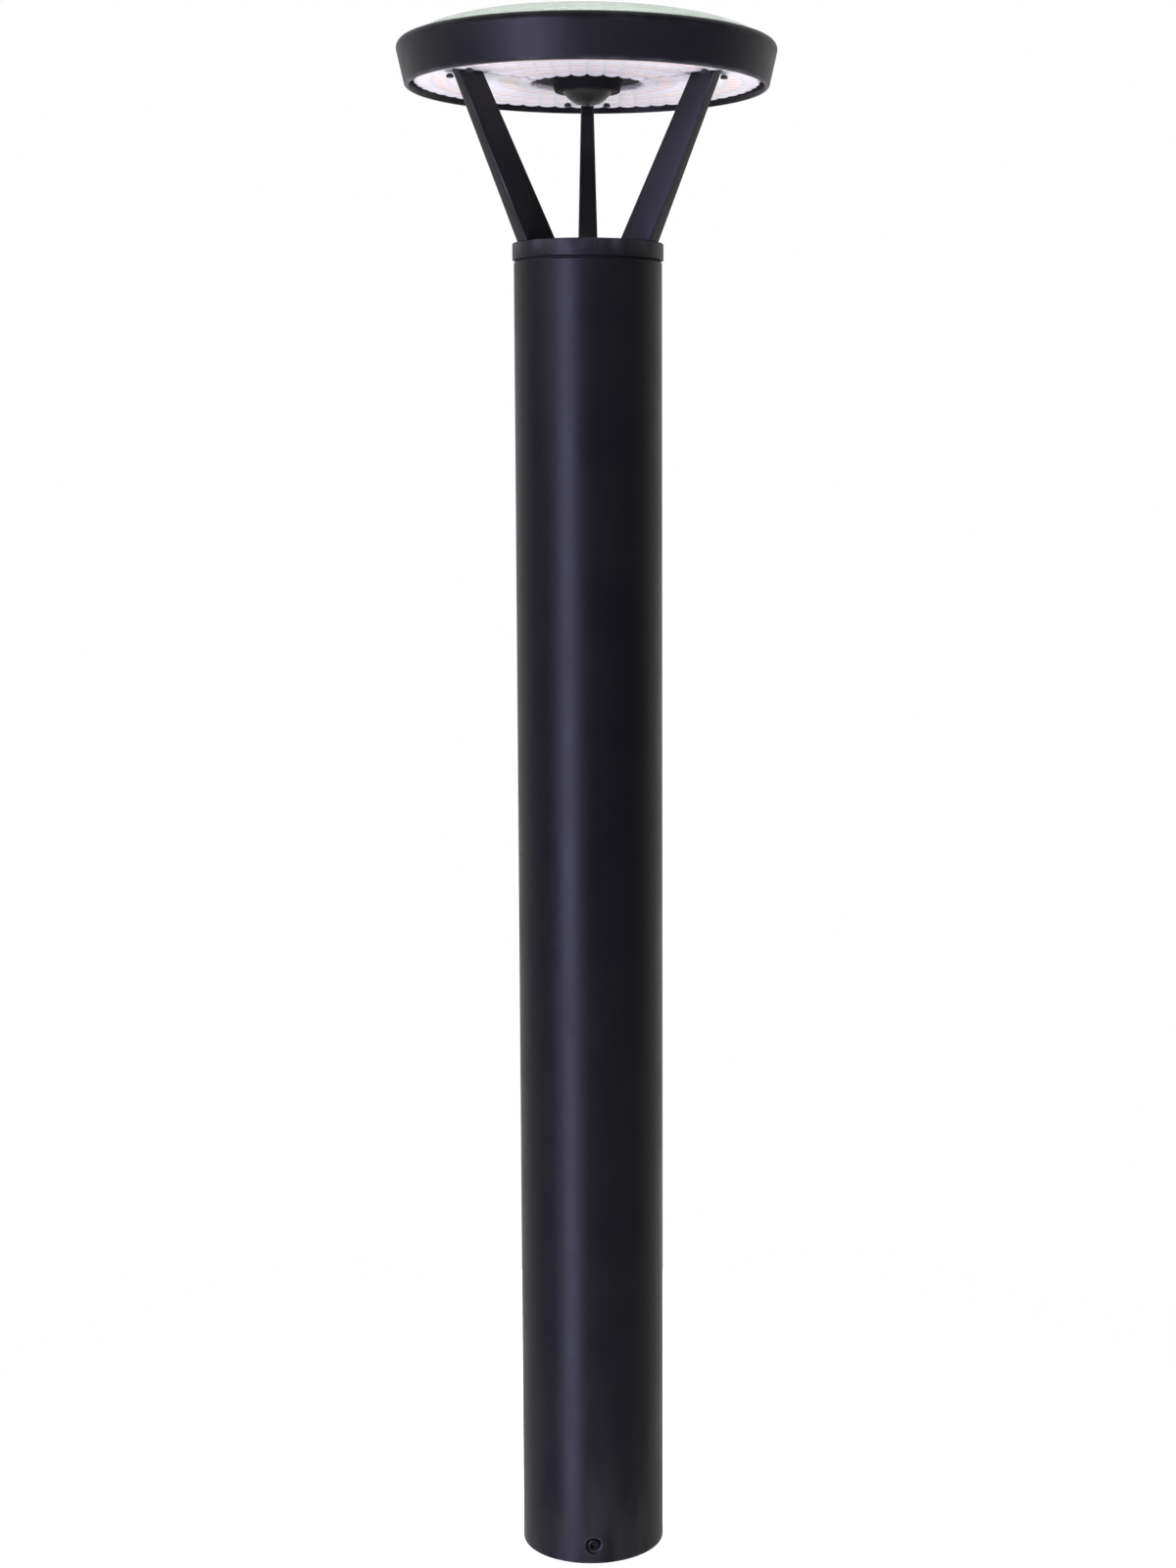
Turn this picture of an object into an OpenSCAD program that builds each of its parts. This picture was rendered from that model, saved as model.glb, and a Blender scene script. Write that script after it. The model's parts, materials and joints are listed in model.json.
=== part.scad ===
// Solar bollard light.  A round pole stands over a hidden anchor base and
// carries a slim cap.  Three leaning struts lift a shallow round head whose
// domed cover lets daylight onto a solar panel and whose underside holds a
// ring of lensed LEDs around a motion sensor.  The battery hangs in the pole.
//
// Frame: origin on the ground at the middle of the pole, +Z up, front at -Y.
// Lengths are millimetres, angles are degrees.

/* [Pole] */
// Outside diameter of the pole
pole_od = 101.6; // [98:0.1:125]
// Wall of the pole tube
pole_wall = 3.2; // [2:0.1:4]
// Length of the pole tube
pole_len = 914.4; // [700:0.1:1300]
// Height of the base screws above the ground
base_screw_z = 13; // [12:0.5:16]

/* [Anchor base] */
// Height of the socket that the pole slides over
anchor_h = 26; // [22:1:40]
// Thickness of the plate that lies on the ground
anchor_plate = 8; // [6:0.5:12]
// Wall of the socket
anchor_wall = 6; // [5:0.5:8]
// Diameter of the anchor bolt circle
bolt_circle = 60; // [56:1:64]
// Diameter of the anchor bolt holes
bolt_hole_d = 11; // [9:0.5:13]
// Diameter of the hole in the middle of the plate
anchor_bore_d = 32; // [20:1:34]

/* [Cap and lantern] */
// Height of the cap that closes the pole
cap_h = 11.2; // [10:0.1:14]
// How far the cap stands proud of the pole all round
cap_overhang = 1; // [0:0.1:3]
// Thickness of the gasket between pole and cap
cap_gasket_t = 1.6; // [1:0.1:3]
// Clear height between the cap and the floor of the head
lantern_h = 112.8; // [90:0.1:160]

/* [Struts] */
// Radial depth of a strut at its foot
strut_foot_w = 23.7; // [22:0.1:26]
// Radial depth of a strut at its head
strut_head_w = 18.3; // [17.5:0.1:24]
// Thickness of a strut at its foot
strut_foot_t = 13.6; // [11:0.1:16]
// Thickness of a strut at its head
strut_head_t = 8.7; // [8:0.1:13]
// Distance from the head's widest radius in to the strut's outer face
strut_inset = 26.5; // [24:0.1:34]

/* [Head] */
// Largest outside diameter of the head
head_d = 258; // [245:0.5:320]
// Height of the head's wall
head_h = 29.8; // [28.5:0.1:36]
// Lean of the head's wall, inwards towards the bottom
head_lean = 12.8; // [6:0.1:15]
// Thickness of the floor that carries the boards
floor_t = 4; // [3:0.1:5]
// Depth of the lamp bay below the floor
bay_h = 9.2; // [8.8:0.1:12]
// Rounding of the wall's top edge
rim_round = 5.2; // [3:0.1:6]
// Rounding of the wall's bottom edge
lip_round = 2.7; // [1.5:0.1:3]
// Radial width of the lip round the lamp bay
lip_w = 3.2; // [3:0.1:5]

/* [Dome] */
// Wall of the domed cover
dome_wall = 3; // [2:0.1:4]
// Rise of the dome above the rim
dome_rise = 14.5; // [8:0.1:20]

/* [Optics] */
// Thickness of the lens plates
lens_t = 2; // [1.5:0.1:2.5]
// Gap between two lens plates
lens_seam = 0.8; // [0.4:0.1:2]
// Distance between rows of lenslets
row_pitch = 11.5; // [11:0.1:13]
// Side of an LED package
led_w = 3; // [2:0.1:3.5]

/* [Motion sensor] */
// Diameter of the sensor's domed lens
sensor_d = 35; // [30:0.5:37]
// Diameter of the hole in the middle of the lens ring
hub_d = 75; // [73:0.5:77]

/* [Battery] */
// Diameter of a battery cell
cell_d = 32.4; // [26:0.1:32.6]
// Length of a battery cell
cell_len = 70.2; // [60:0.1:72]
// Layers of three cells each
cell_layers = 4; // [1:1:5]

/* [Hidden] */
$fn = 96;

// Directions seen from above: struts stand at one set, fixings at the other
STRUTS = [90, 210, 330];
FRONT = 270;
LEFT = 150;
RIGHT = 30;
BETWEEN = [FRONT, RIGHT, LEFT];
eps = 0.01;
past = 1;

// Clearances
slip = 0.1;
socket_gap = 0.4;
hole_gap = 0.25;
seam_gap = 1;

// Pole and anchor base
pole_r = pole_od / 2;
pole_bore_r = pole_r - pole_wall;
anchor_r = pole_bore_r - socket_gap;
anchor_boss_r = 7;
anchor_boss_depth = 11;
anchor_rib_t = 4;
anchor_rib_h = 4;
anchor_rib_start = 4;
anchor_rib_bite = 1;
base_screw_d = 6;
base_head_d = 10.5;
base_head_h = 3.3;
base_screw_len = 14;
base_screw_key = 4;
base_hole_d = 12;
spot_depth = 0.4;
top_ring_h = 20;
top_ring_w = 8;
top_ring_r = pole_bore_r - slip;
top_ring_bore_r = pole_bore_r - top_ring_w;
gasket_inset = 0.7;

// Levels
z_cap0 = pole_len + cap_gasket_t;
z_cap1 = z_cap0 + cap_h;
z_floor0 = z_cap1 + lantern_h;
z_floor1 = z_floor0 + floor_t;
z_head0 = z_floor0 - bay_h;
z_head1 = z_head0 + head_h;

// Cap
cap_r = pole_r + cap_overhang;
cap_round = 0.8;
cap_pocket_r = 20;
cap_pocket_h = 5;
cap_screw_d = 5;
cap_screw_head_d = 10;
cap_screw_len = 26;
cap_screw_key = 3;
cap_screw_r = pole_bore_r - top_ring_w / 2;

// Struts
strut_foot_ri = cap_r - strut_foot_w;
strut_head_ro = head_d / 2 - strut_inset;
strut_head_ri = strut_head_ro - strut_head_w;
function axis_r(z) =
    let (foot = cap_r - strut_foot_w / 2, top = strut_head_ro - strut_head_w / 2)
    foot + (top - foot) * (z - z_cap1) / lantern_h;
lean = atan((axis_r(z_floor0) - axis_r(z_cap1)) / lantern_h);
strut_screw_d = 5;
strut_screw_len = 20;
strut_screw_head_d = 8.5;
strut_screw_head_h = 5;
strut_screw_key = 4;
strut_screw_off = 4.6;
seat_depth = 6.5;
wireway_off = -3.9;
wireway_d = 5.4;
strut_pad_h = 4;
strut_pad_in = 2;
strut_pad_out = 8;

// Head housing
rim_r = head_d / 2 - rim_round;
lip_tangent = rim_r * cos(head_lean) + rim_round
    - (z_head1 - rim_round) * sin(head_lean);
lip_r = (lip_tangent - lip_round + (z_head0 + lip_round) * sin(head_lean))
    / cos(head_lean);
bay_r = lip_r + lip_round - lip_w;
ledge_set = 0.6;
ledge_r = rim_r - ledge_set;
ledge_w = 3.4;
pocket_r = ledge_r - ledge_w;
ledge_h = 3.1;
z_ledge = z_head1 - ledge_h;
centre_bore_r = 12;

// Solar tray
tray_t = 2;
tray_r = pocket_r - seam_gap;
tray_drop = 3.6;
z_tray = z_head1 - tray_drop - tray_t;
post_r = 6;
post_at = pocket_r - 21.8;
tray_screw_d = 4;
tray_screw_head_d = 7.5;
tray_screw_len = 10;
tray_screw_key = 2.5;
pv_size = 36;
pv_pitch = 38;
pv_t = 0.4;
pv_margin = 3;
pv_count = floor(tray_r / pv_pitch);
pv_screw_gap = 0.8 * pv_size;
pv_crop_r = 0.66 * pv_size;

// Dome
dome_gasket_t = 0.8;
dome_r = ledge_r - 2 * slip;
dome_flange_w = ledge_w - 3 * slip;
dome_power = 5;
dome_steps = 20;

// Vent plug in the floor of the head
vent_angle = 240;
vent_at = 60;
vent_d = 8;
vent_head_d = 12;
vent_head_h = 3;
vent_bore_d = 3;

// Lamp bay
board_t = 1.6;
board_inset = 4.5;
board_reach = 2;
lens_drop = 6.1;
z_lens = z_floor0 - lens_drop;
lens_skirt_w = 1.6;
lens_gasket_t = 1;
hub_r = hub_d / 2;
lobe_r = 5.2;
row_first = hub_r + lobe_r;
outer_lobe_most = 6;
row_count = floor((bay_r - seam_gap - outer_lobe_most - row_first) / row_pitch) + 1;
outer_row = row_first + (row_count - 1) * row_pitch;
outer_lobe_r = min(outer_lobe_most, bay_r - seam_gap - outer_row);
row_lobes = 8;
row_step = 2;
inner_lobe_past = 3;
outer_lobe_past = 4.5;
lens_edge_in = hub_r + inner_lobe_past;
lens_edge_out = outer_row + outer_lobe_r - outer_lobe_past;
notch_gap = 3;
notch_in = 6;
notch_half = strut_head_t / 2 + notch_gap;
led_h = 0.7;
led_clear = 6.5;
lens_screw_at = strut_head_ri + 12.8;
lens_screw_side = 14;
lens_screw_d = 3;
lens_screw_head_d = 5;
lens_screw_head_h = 1.8;
lens_screw_key = 2;
lens_boss_r = 3.6;
blind = 3;
blind_gap = 0.5;

// Motion sensor
sensor_r = sensor_d / 2;
sensor_wall = 1;
sensor_flange_r = hub_r - 1;
sensor_flange_t = 3.5;
sensor_drop = 6.1;
sensor_z = z_floor0 - sensor_drop;
sensor_ledge = 2.5;
sensor_seat_h = 2.5;
sensor_mouth_drop = 4.6;
sensor_mouth_w = 1.1;
sensor_waist_r = sensor_r + 5.2;
sensor_root_r = sensor_r + 7;
sensor_waist_drop = 1;
sensor_board_t = 1.6;
sensor_screw_at = 31;
sensor_screw_head_d = 5.5;
sensor_screw_head_h = 3;
sensor_screw_key = 2.5;
sensor_pilot_skin = 0.6;
pyro_r = 4.6;
pyro_h = 4.4;
pyro_rim = 0.5;
pyro_rim_t = 0.6;
pyro_window = [3, 4];
pyro_recess = 0.3;

// Battery cartridge
rod_at = 31;
rod_d = 5;
rod_grip = 8;
rod_tail = 9;
nut_w = 8;
nut_h = 4;
spacer_d = 9;
board_drop = 35;
z_board = z_cap0 - board_drop;
ctrl_board_r = top_ring_bore_r - 2.5;
ctrl_gap = 14;
z_holder = z_board - ctrl_gap;
holder_r = top_ring_bore_r - seam_gap;
web_t = 2;
cell_grip = 3;
cell_gap = 2;
cell_fit = 0.2;
cell_at = (cell_d + cell_gap) / sqrt(3);
cell_cap_d = cell_d / 2.6;
cell_cap_h = 1.2;
bus_t = 0.5;
bus_w = 8;
bus_reach = 6;
layer_h = cell_len + 2 * bus_t + web_t;
function web_z(i) = z_holder - web_t - i * layer_h;
battery_plug_at = 22;
battery_plug_size = [8, 12, 7];

// Controller: plugs, wireway for the battery lead, coil, capacitors, heat sink
plug_h = 11;
ctrl_plug_at = 20;
ctrl_plug_size = [16, 8];
battery_socket_at = 14;
battery_way_at = 26;
battery_way_d = 6;
battery_lead_d = 3;
coil_at = [-2, 0];
coil_r = 9;
coil_h = 8;
coil_eye_r = 3.5;
coil_base = 2;
cap_can_at = [[12, -11], [23, -11]];
cap_can_r = 4.8;
cap_can_h = 15;
sink_at = [-33, -8];
sink_size = [9, 16];
sink_base = 2;
sink_fin_t = 2;
sink_fin_h = 12;
sink_fins = [0, 7, 14];

// Wiring: junction block, cables and the holes that they pass
head_plug_y = 64;
head_plug_w = 26;
head_plug_l = 12;
head_plug_h = 7;
harness_d = 4.2;
lead_d = 2.6;
led_hole_d = 5;
LED_HOLES = [[17, 57], [-17, 57], [0, -50]];
z_plug_top = z_board + board_t + plug_h;

// The harness runs up the rear strut's wireway and turns above its pad
way_step = 14;
way_rings = floor((z_floor1 - z_cap0) / way_step);
way_r = axis_r(z_cap1) + wireway_off / cos(lean);
function way(z) = [0, way_r + (z - z_cap1) * tan(lean), z];
steep = tan(26);
way_rise = past + max(0, 2 * harness_d * (tan(lean) - steep));
z_way_out = z_floor1 + strut_pad_h + way_rise;

// ---------------------------------------------------------------- helpers

module at_each(angles)
    for (a = angles) rotate([0, 0, a]) children();

module at_radius(r, z = 0)
    translate([r, 0, z]) children();

module ring(ro, ri, h)
    difference() {
        cylinder(r = ro, h = h);
        translate([0, 0, -past]) cylinder(r = ri, h = h + 2 * past);
    }

// Cap screw: underside of the head at z = 0, head up, shank down
module socket_screw(d, len, head_d, head_h, key)
    difference() {
        union() {
            cylinder(d = head_d, h = head_h);
            translate([0, 0, -len]) cylinder(d = d, h = len + eps);
        }
        translate([0, 0, head_h / 2]) cylinder(d = key / cos(30), h = head_h, $fn = 6);
    }

// Button-head screw: domed head up, shank down
module button_screw(d, len, head_d, head_h, key) {
    crown = (pow(head_d / 2, 2) + pow(head_h, 2)) / (2 * head_h);
    difference() {
        union() {
            intersection() {
                cylinder(d = head_d, h = head_h);
                translate([0, 0, head_h - crown]) sphere(r = crown);
            }
            translate([0, 0, -len]) cylinder(d = d, h = len + eps);
        }
        translate([0, 0, head_h * 0.4]) cylinder(d = key / cos(30), h = head_h, $fn = 6);
    }
}

// Countersunk screw: flat top of the head at z = 0, shank down
module flat_screw(d, len, head_d, key) {
    cone_h = (head_d - d) / 2;
    difference() {
        union() {
            translate([0, 0, -cone_h]) cylinder(d1 = d, d2 = head_d, h = cone_h);
            translate([0, 0, -len]) cylinder(d = d, h = len);
        }
        translate([0, 0, -cone_h * 0.7]) cylinder(d = key / cos(30), h = cone_h, $fn = 6);
    }
}

// Origin where a line parallel to a strut, offset across it, meets a level
module on_strut(z, off)
    translate([axis_r(z) + off / cos(lean), 0, z]) rotate([0, lean, 0]) children();

// A wedge 120 degrees wide about +X with its straight edges set back
module wedge(setback) {
    reach = head_d;
    apex = setback / sin(60);
    polygon([
        [apex, 0],
        [apex + reach * cos(60), reach * sin(60)],
        [apex + 2 * reach, reach * sin(60)],
        [apex + 2 * reach, -reach * sin(60)],
        [apex + reach * cos(60), -reach * sin(60)]
    ]);
}

// Plan of a third of the lamp ring, cut back round the two struts beside it
module third(ri, ro, setback, grow)
    difference() {
        intersection() {
            difference() {
                circle(r = ro);
                circle(r = ri);
            }
            wedge(setback);
        }
        for (a = [-60, 60]) rotate(a)
            translate([strut_head_ri - notch_in - grow, -notch_half - grow])
                square([strut_head_w + notch_in + notch_gap + 2 * grow, 2 * (notch_half + grow)]);
    }

// Places of the two screws of one third, then of its lenslets, row by row
function beside_strut(a, s) = [
    lens_screw_at * cos(a) - s * lens_screw_side * sin(a),
    lens_screw_at * sin(a) + s * lens_screw_side * cos(a)
];
SCREW_SPOTS = [beside_strut(60, -1), beside_strut(-60, 1)];
function row_r(k) = row_first + k * row_pitch;
function row_n(k) = row_lobes + row_step * k;
function spot(k, j) =
    let (a = -60 + 120 * (j + 0.5) / row_n(k)) [row_r(k) * cos(a), row_r(k) * sin(a)];
function off_strut(p) =
    min([for (a = [-60, 60])
        let (u = p[0] * cos(a) + p[1] * sin(a), v = abs(p[1] * cos(a) - p[0] * sin(a)))
        max(v - notch_half, strut_head_ri - notch_in - u)]);
function is_free(p) =
    off_strut(p) > led_w
    && min([for (s = SCREW_SPOTS) norm(p - s)]) > led_clear;

function unit(v) = v / norm(v);
function curve(a, b, c, d, t) =
    0.5 * (2 * b + (c - a) * t + (2 * a - 5 * b + 4 * c - d) * t * t
        + (3 * b - a - 3 * c + d) * t * t * t);
function smooth(p, n) = [
    for (i = [0:len(p) - 2], k = [0:n - 1])
        curve(p[max(i - 1, 0)], p[i], p[i + 1], p[min(i + 2, len(p) - 1)], k / n),
    p[len(p) - 1]
];

// A tube of the given diameter along a path.  It starts along first and ends
// along last, so that both ends are cut square; side is never along the path.
module cord(path, d, side, first, last, sides = 8) {
    n = len(path);
    points = [
        for (i = [0:n - 1])
            let (t = i == 0 ? unit(first) : i == n - 1 ? unit(last)
                : unit(path[i + 1] - path[i - 1]))
            let (u = unit(cross(t, side)), v = cross(t, u))
            for (k = [0:sides - 1])
                path[i] + d / 2 * (cos(360 * k / sides) * u + sin(360 * k / sides) * v)
    ];
    walls = [
        for (i = [0:n - 2], k = [0:sides - 1])
            let (a = i * sides + k, b = i * sides + (k + 1) % sides)
            each [[a, b, b + sides], [a, b + sides, a + sides]]
    ];
    start = [for (k = [sides - 1:-1:0]) k];
    stop = [for (k = [0:sides - 1]) (n - 1) * sides + k];
    polyhedron(points, concat([start], walls, [stop]));
}

// ------------------------------------------------------- base and pole

// Socket bolted to the ground, inside the foot of the pole
module anchor_base() color([0.55, 0.56, 0.58]) {
    rib_in = anchor_bore_d / 2 + anchor_rib_start;
    rib_out = anchor_r - anchor_wall + anchor_rib_bite;
    difference() {
        union() {
            cylinder(r = anchor_r, h = anchor_plate);
            ring(anchor_r, anchor_r - anchor_wall, anchor_h);
            at_each(BETWEEN) intersection() {
                translate([anchor_r - anchor_boss_depth, 0, base_screw_z])
                    rotate([0, 90, 0]) cylinder(r = anchor_boss_r, h = anchor_boss_depth);
                cylinder(r = anchor_r, h = anchor_h);
            }
            at_each([0, 60, 120, 180, 240, 300])
                translate([rib_in, -anchor_rib_t / 2, anchor_plate - eps])
                cube([rib_out - rib_in, anchor_rib_t, anchor_rib_h]);
        }
        translate([0, 0, -past]) cylinder(d = anchor_bore_d, h = anchor_h);
        at_each(STRUTS) at_radius(bolt_circle / 2, -past)
            cylinder(d = bolt_hole_d, h = anchor_h);
        at_each(BETWEEN) translate([0, 0, base_screw_z]) rotate([0, 90, 0]) {
            cylinder(d = base_screw_d + slip, h = pole_r);
            translate([0, 0, anchor_r - spot_depth])
                cylinder(d = base_hole_d, h = past);
        }
    }
}

// Three button-head screws that lock the pole to the anchor base
module base_screws() color([0.12, 0.12, 0.13])
    at_each(BETWEEN)
        translate([anchor_r - spot_depth, 0, base_screw_z]) rotate([0, 90, 0])
        button_screw(base_screw_d, base_screw_len, base_head_d, base_head_h, base_screw_key);

module pole_shaft() color([0.13, 0.13, 0.16])
    difference() {
        ring(pole_r, pole_bore_r, pole_len);
        at_each(BETWEEN) translate([pole_bore_r / 2, 0, base_screw_z])
            rotate([0, 90, 0]) cylinder(d = base_hole_d, h = pole_r);
    }

// Threaded ring welded inside the top of the pole
module pole_top_ring() color([0.55, 0.56, 0.58])
    translate([0, 0, pole_len - top_ring_h]) difference() {
        ring(top_ring_r, top_ring_bore_r, top_ring_h);
        at_each(BETWEEN) at_radius(cap_screw_r, -past)
            cylinder(d = cap_screw_d + slip, h = top_ring_h + 2 * past);
    }

module cap_gasket() color([0.05, 0.05, 0.05])
    translate([0, 0, pole_len])
        ring(pole_r - gasket_inset, pole_bore_r, cap_gasket_t);

// -------------------------------------------------------- cap and struts

module pole_cap() color([0.14, 0.14, 0.17])
    difference() {
        translate([0, 0, z_cap0]) rotate_extrude() union() {
            polygon([
                [0, 0], [cap_r, 0], [cap_r, cap_h - cap_round],
                [cap_r - cap_round, cap_h], [0, cap_h]
            ]);
            translate([cap_r - cap_round, cap_h - cap_round]) circle(r = cap_round);
        }
        translate([0, 0, z_cap0 - past]) cylinder(r = cap_pocket_r, h = cap_pocket_h + past);
        at_each(BETWEEN) {
            at_radius(cap_screw_r, z_cap0 - past)
                cylinder(d = cap_screw_d + 2 * hole_gap, h = cap_h + 2 * past);
            at_radius(cap_screw_r, z_cap1 - cap_screw_head_d / 2 + cap_screw_d / 2 - hole_gap)
                cylinder(d1 = cap_screw_d, d2 = cap_screw_head_d + 2 * hole_gap + past,
                    h = (cap_screw_head_d - cap_screw_d + 2 * hole_gap + past) / 2);
            at_radius(rod_at, z_cap0 - past)
                cylinder(d = rod_d + slip, h = rod_grip + slip + past);
        }
        at_each([STRUTS[1], STRUTS[2]]) for (s = [-1, 1]) foot_screw_cut(s * strut_screw_off);
        rotate([0, 0, STRUTS[0]]) {
            foot_screw_cut(strut_screw_off);
            on_strut(z_cap1, wireway_off) translate([0, 0, -3 * cap_h])
                cylinder(d = wireway_d, h = 4 * cap_h);
        }
    }

module foot_screw_cut(off)
    on_strut(z_cap1, off) {
        translate([0, 0, -2 * cap_h])
            cylinder(d = strut_screw_d + 2 * hole_gap, h = 3 * cap_h);
        translate([0, 0, -seat_depth - 2 * cap_h])
            cylinder(d = strut_screw_head_d + 2 * hole_gap, h = 2 * cap_h);
    }

module cap_screws() color([0.12, 0.12, 0.13])
    at_each(BETWEEN) at_radius(cap_screw_r, z_cap1)
        flat_screw(cap_screw_d, cap_screw_len, cap_screw_head_d, cap_screw_key);

// Strut along +X: a side view and a front view pulled through each other
module strut_blank()
    intersection() {
        translate([0, strut_foot_t, 0]) rotate([90, 0, 0])
            linear_extrude(2 * strut_foot_t) polygon([
                [strut_foot_ri, z_cap1], [cap_r, z_cap1],
                [strut_head_ro, z_floor0], [strut_head_ri, z_floor0]
            ]);
        rotate([90, 0, 90]) linear_extrude(head_d) polygon([
            [-strut_foot_t / 2, z_cap1], [strut_foot_t / 2, z_cap1],
            [strut_head_t / 2, z_floor0], [-strut_head_t / 2, z_floor0]
        ]);
    }

module strut_screw_hole(off) {
    hole_len = strut_screw_len - seat_depth + past;
    for (z = [z_cap1, z_floor0]) on_strut(z, off)
        translate([0, 0, -hole_len])
        cylinder(d = strut_screw_d + slip, h = 2 * hole_len);
}

module strut_plain() color([0.13, 0.13, 0.16])
    difference() {
        strut_blank();
        for (s = [-1, 1]) strut_screw_hole(s * strut_screw_off);
    }

module strut_left() rotate([0, 0, STRUTS[1]]) strut_plain();
module strut_right() rotate([0, 0, STRUTS[2]]) strut_plain();

// The rear strut has one screw at each end and a wireway beside it
module strut_rear() color([0.13, 0.13, 0.16])
    rotate([0, 0, STRUTS[0]]) difference() {
        strut_blank();
        strut_screw_hole(strut_screw_off);
        on_strut(z_cap1, wireway_off) translate([0, 0, -2 * cap_h])
            cylinder(d = wireway_d, h = 2 * lantern_h);
    }

module strut_screw(off, z, up)
    on_strut(z, off) translate([0, 0, up * seat_depth]) rotate([up > 0 ? 0 : 180, 0, 0])
        socket_screw(strut_screw_d, strut_screw_len, strut_screw_head_d,
            strut_screw_head_h, strut_screw_key);

module strut_screw_set(z, up) {
    at_each(STRUTS) strut_screw(strut_screw_off, z, up);
    at_each([STRUTS[1], STRUTS[2]]) strut_screw(-strut_screw_off, z, up);
}

module foot_screws() color([0.6, 0.6, 0.62]) strut_screw_set(z_cap1, -1);
module head_screws() color([0.6, 0.6, 0.62]) strut_screw_set(z_floor0, 1);

// ------------------------------------------------------------------ head

// Outline of the head's wall, solid to the axis
module head_outline()
    union() {
        polygon([
            [0, z_head0],
            [lip_r, z_head0],
            [lip_r + lip_round * cos(head_lean), z_head0 + lip_round * (1 - sin(head_lean))],
            [rim_r + rim_round * cos(head_lean), z_head1 - rim_round * (1 + sin(head_lean))],
            [rim_r, z_head1],
            [0, z_head1]
        ]);
        translate([lip_r, z_head0 + lip_round]) circle(r = lip_round);
        translate([rim_r, z_head1 - rim_round]) circle(r = rim_round);
    }

module head_screw_cut(off)
    on_strut(z_floor0, off) {
        translate([0, 0, -seat_depth])
            cylinder(d = strut_screw_d + 2 * hole_gap, h = 3 * seat_depth);
        translate([0, 0, seat_depth])
            cylinder(d = strut_screw_head_d + 2 * hole_gap, h = 2 * seat_depth);
    }

module head_housing() color([0.14, 0.14, 0.17])
    difference() {
        union() {
            rotate_extrude() difference() {
                head_outline();
                translate([0, z_head0 - past]) square([bay_r, bay_h + past]);
                translate([0, z_floor1]) square([pocket_r, head_h]);
                translate([0, z_ledge]) square([ledge_r, head_h]);
            }
            at_each(STRUTS)
                translate([strut_head_ri - strut_pad_in, -strut_foot_t / 2, z_floor1 - eps])
                cube([strut_head_w + strut_pad_in + strut_pad_out, strut_foot_t, strut_pad_h]);
            at_each(BETWEEN) at_radius(post_at, z_floor1 - eps)
                cylinder(r = post_r, h = z_tray - z_floor1 + eps);
        }
        translate([0, 0, z_floor0 - past]) cylinder(r = centre_bore_r, h = floor_t + 2 * past);
        rotate([0, 0, STRUTS[0]]) {
            head_screw_cut(strut_screw_off);
            on_strut(z_floor0, wireway_off) translate([0, 0, -seat_depth])
                cylinder(d = wireway_d, h = 4 * seat_depth);
        }
        at_each([STRUTS[1], STRUTS[2]]) for (s = [-1, 1]) head_screw_cut(s * strut_screw_off);
        at_each(BETWEEN) {
            at_radius(post_at, z_tray - tray_screw_len)
                cylinder(d = tray_screw_d + slip, h = tray_screw_len + past);
            at_radius(sensor_screw_at, z_floor0 - past)
                cylinder(d = lens_screw_d + 2 * hole_gap, h = floor_t + 2 * past);
            for (s = SCREW_SPOTS) translate([s[0], s[1], z_floor0 - past])
                cylinder(d = lens_screw_d + slip, h = blind + past);
        }
        for (p = LED_HOLES) translate([p[0], p[1], z_floor0 - past])
            cylinder(d = led_hole_d, h = floor_t + 2 * past);
        rotate([0, 0, vent_angle]) at_radius(vent_at, z_floor0 - past)
            cylinder(d = vent_d + slip, h = floor_t + 2 * past);
    }

// Aluminium-core board of one third of the lamp ring
module led_board(a) color([0.92, 0.92, 0.9])
    rotate([0, 0, a]) translate([0, 0, z_floor0 - board_t])
        difference() {
            linear_extrude(board_t)
                third(lens_edge_in + board_inset, lens_edge_out - board_inset + board_reach,
                    lens_seam + seam_gap, 1);
            for (s = SCREW_SPOTS) translate([s[0], s[1], -past])
                cylinder(d = lens_screw_d + 2 * hole_gap, h = board_t + 2 * past);
        }

module led_board_front() led_board(FRONT);
module led_board_left() led_board(LEFT);
module led_board_right() led_board(RIGHT);

// LED packages on every second row
module led_emitters() color([0.95, 0.85, 0.4])
    at_each(BETWEEN) for (k = [1:2:row_count - 1], j = [0:row_n(k) - 1])
        if (is_free(spot(k, j)))
            translate([spot(k, j)[0], spot(k, j)[1], z_floor0 - board_t - led_h / 2])
                cube([led_w, led_w, led_h], center = true);

// Moulded lens plate: lobed edges and a skirt that stands off the floor
module lens(a) color([0.88, 0.87, 0.92])
    rotate([0, 0, a]) translate([0, 0, z_lens]) difference() {
        union() {
            linear_extrude(lens_t) intersection() {
                union() {
                    third(lens_edge_in, lens_edge_out, lens_seam / 2, 0);
                    for (j = [0:row_n(0) - 1])
                        translate(spot(0, j)) circle(r = lobe_r, $fn = 32);
                    for (j = [0:row_n(row_count - 1) - 1])
                        if (off_strut(spot(row_count - 1, j)) > lobe_r)
                            translate(spot(row_count - 1, j)) circle(r = outer_lobe_r, $fn = 32);
                }
                wedge(lens_seam / 2);
            }
            translate([0, 0, lens_t - eps])
                linear_extrude(lens_drop - lens_t - lens_gasket_t + eps) skirt();
            for (s = SCREW_SPOTS) translate([s[0], s[1], lens_t - eps])
                cylinder(r = lens_boss_r, h = lens_drop - lens_t - board_t);
        }
        for (s = SCREW_SPOTS) translate([s[0], s[1], -past])
            cylinder(d = lens_screw_d + 2 * hole_gap, h = lens_drop);
    }

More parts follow.
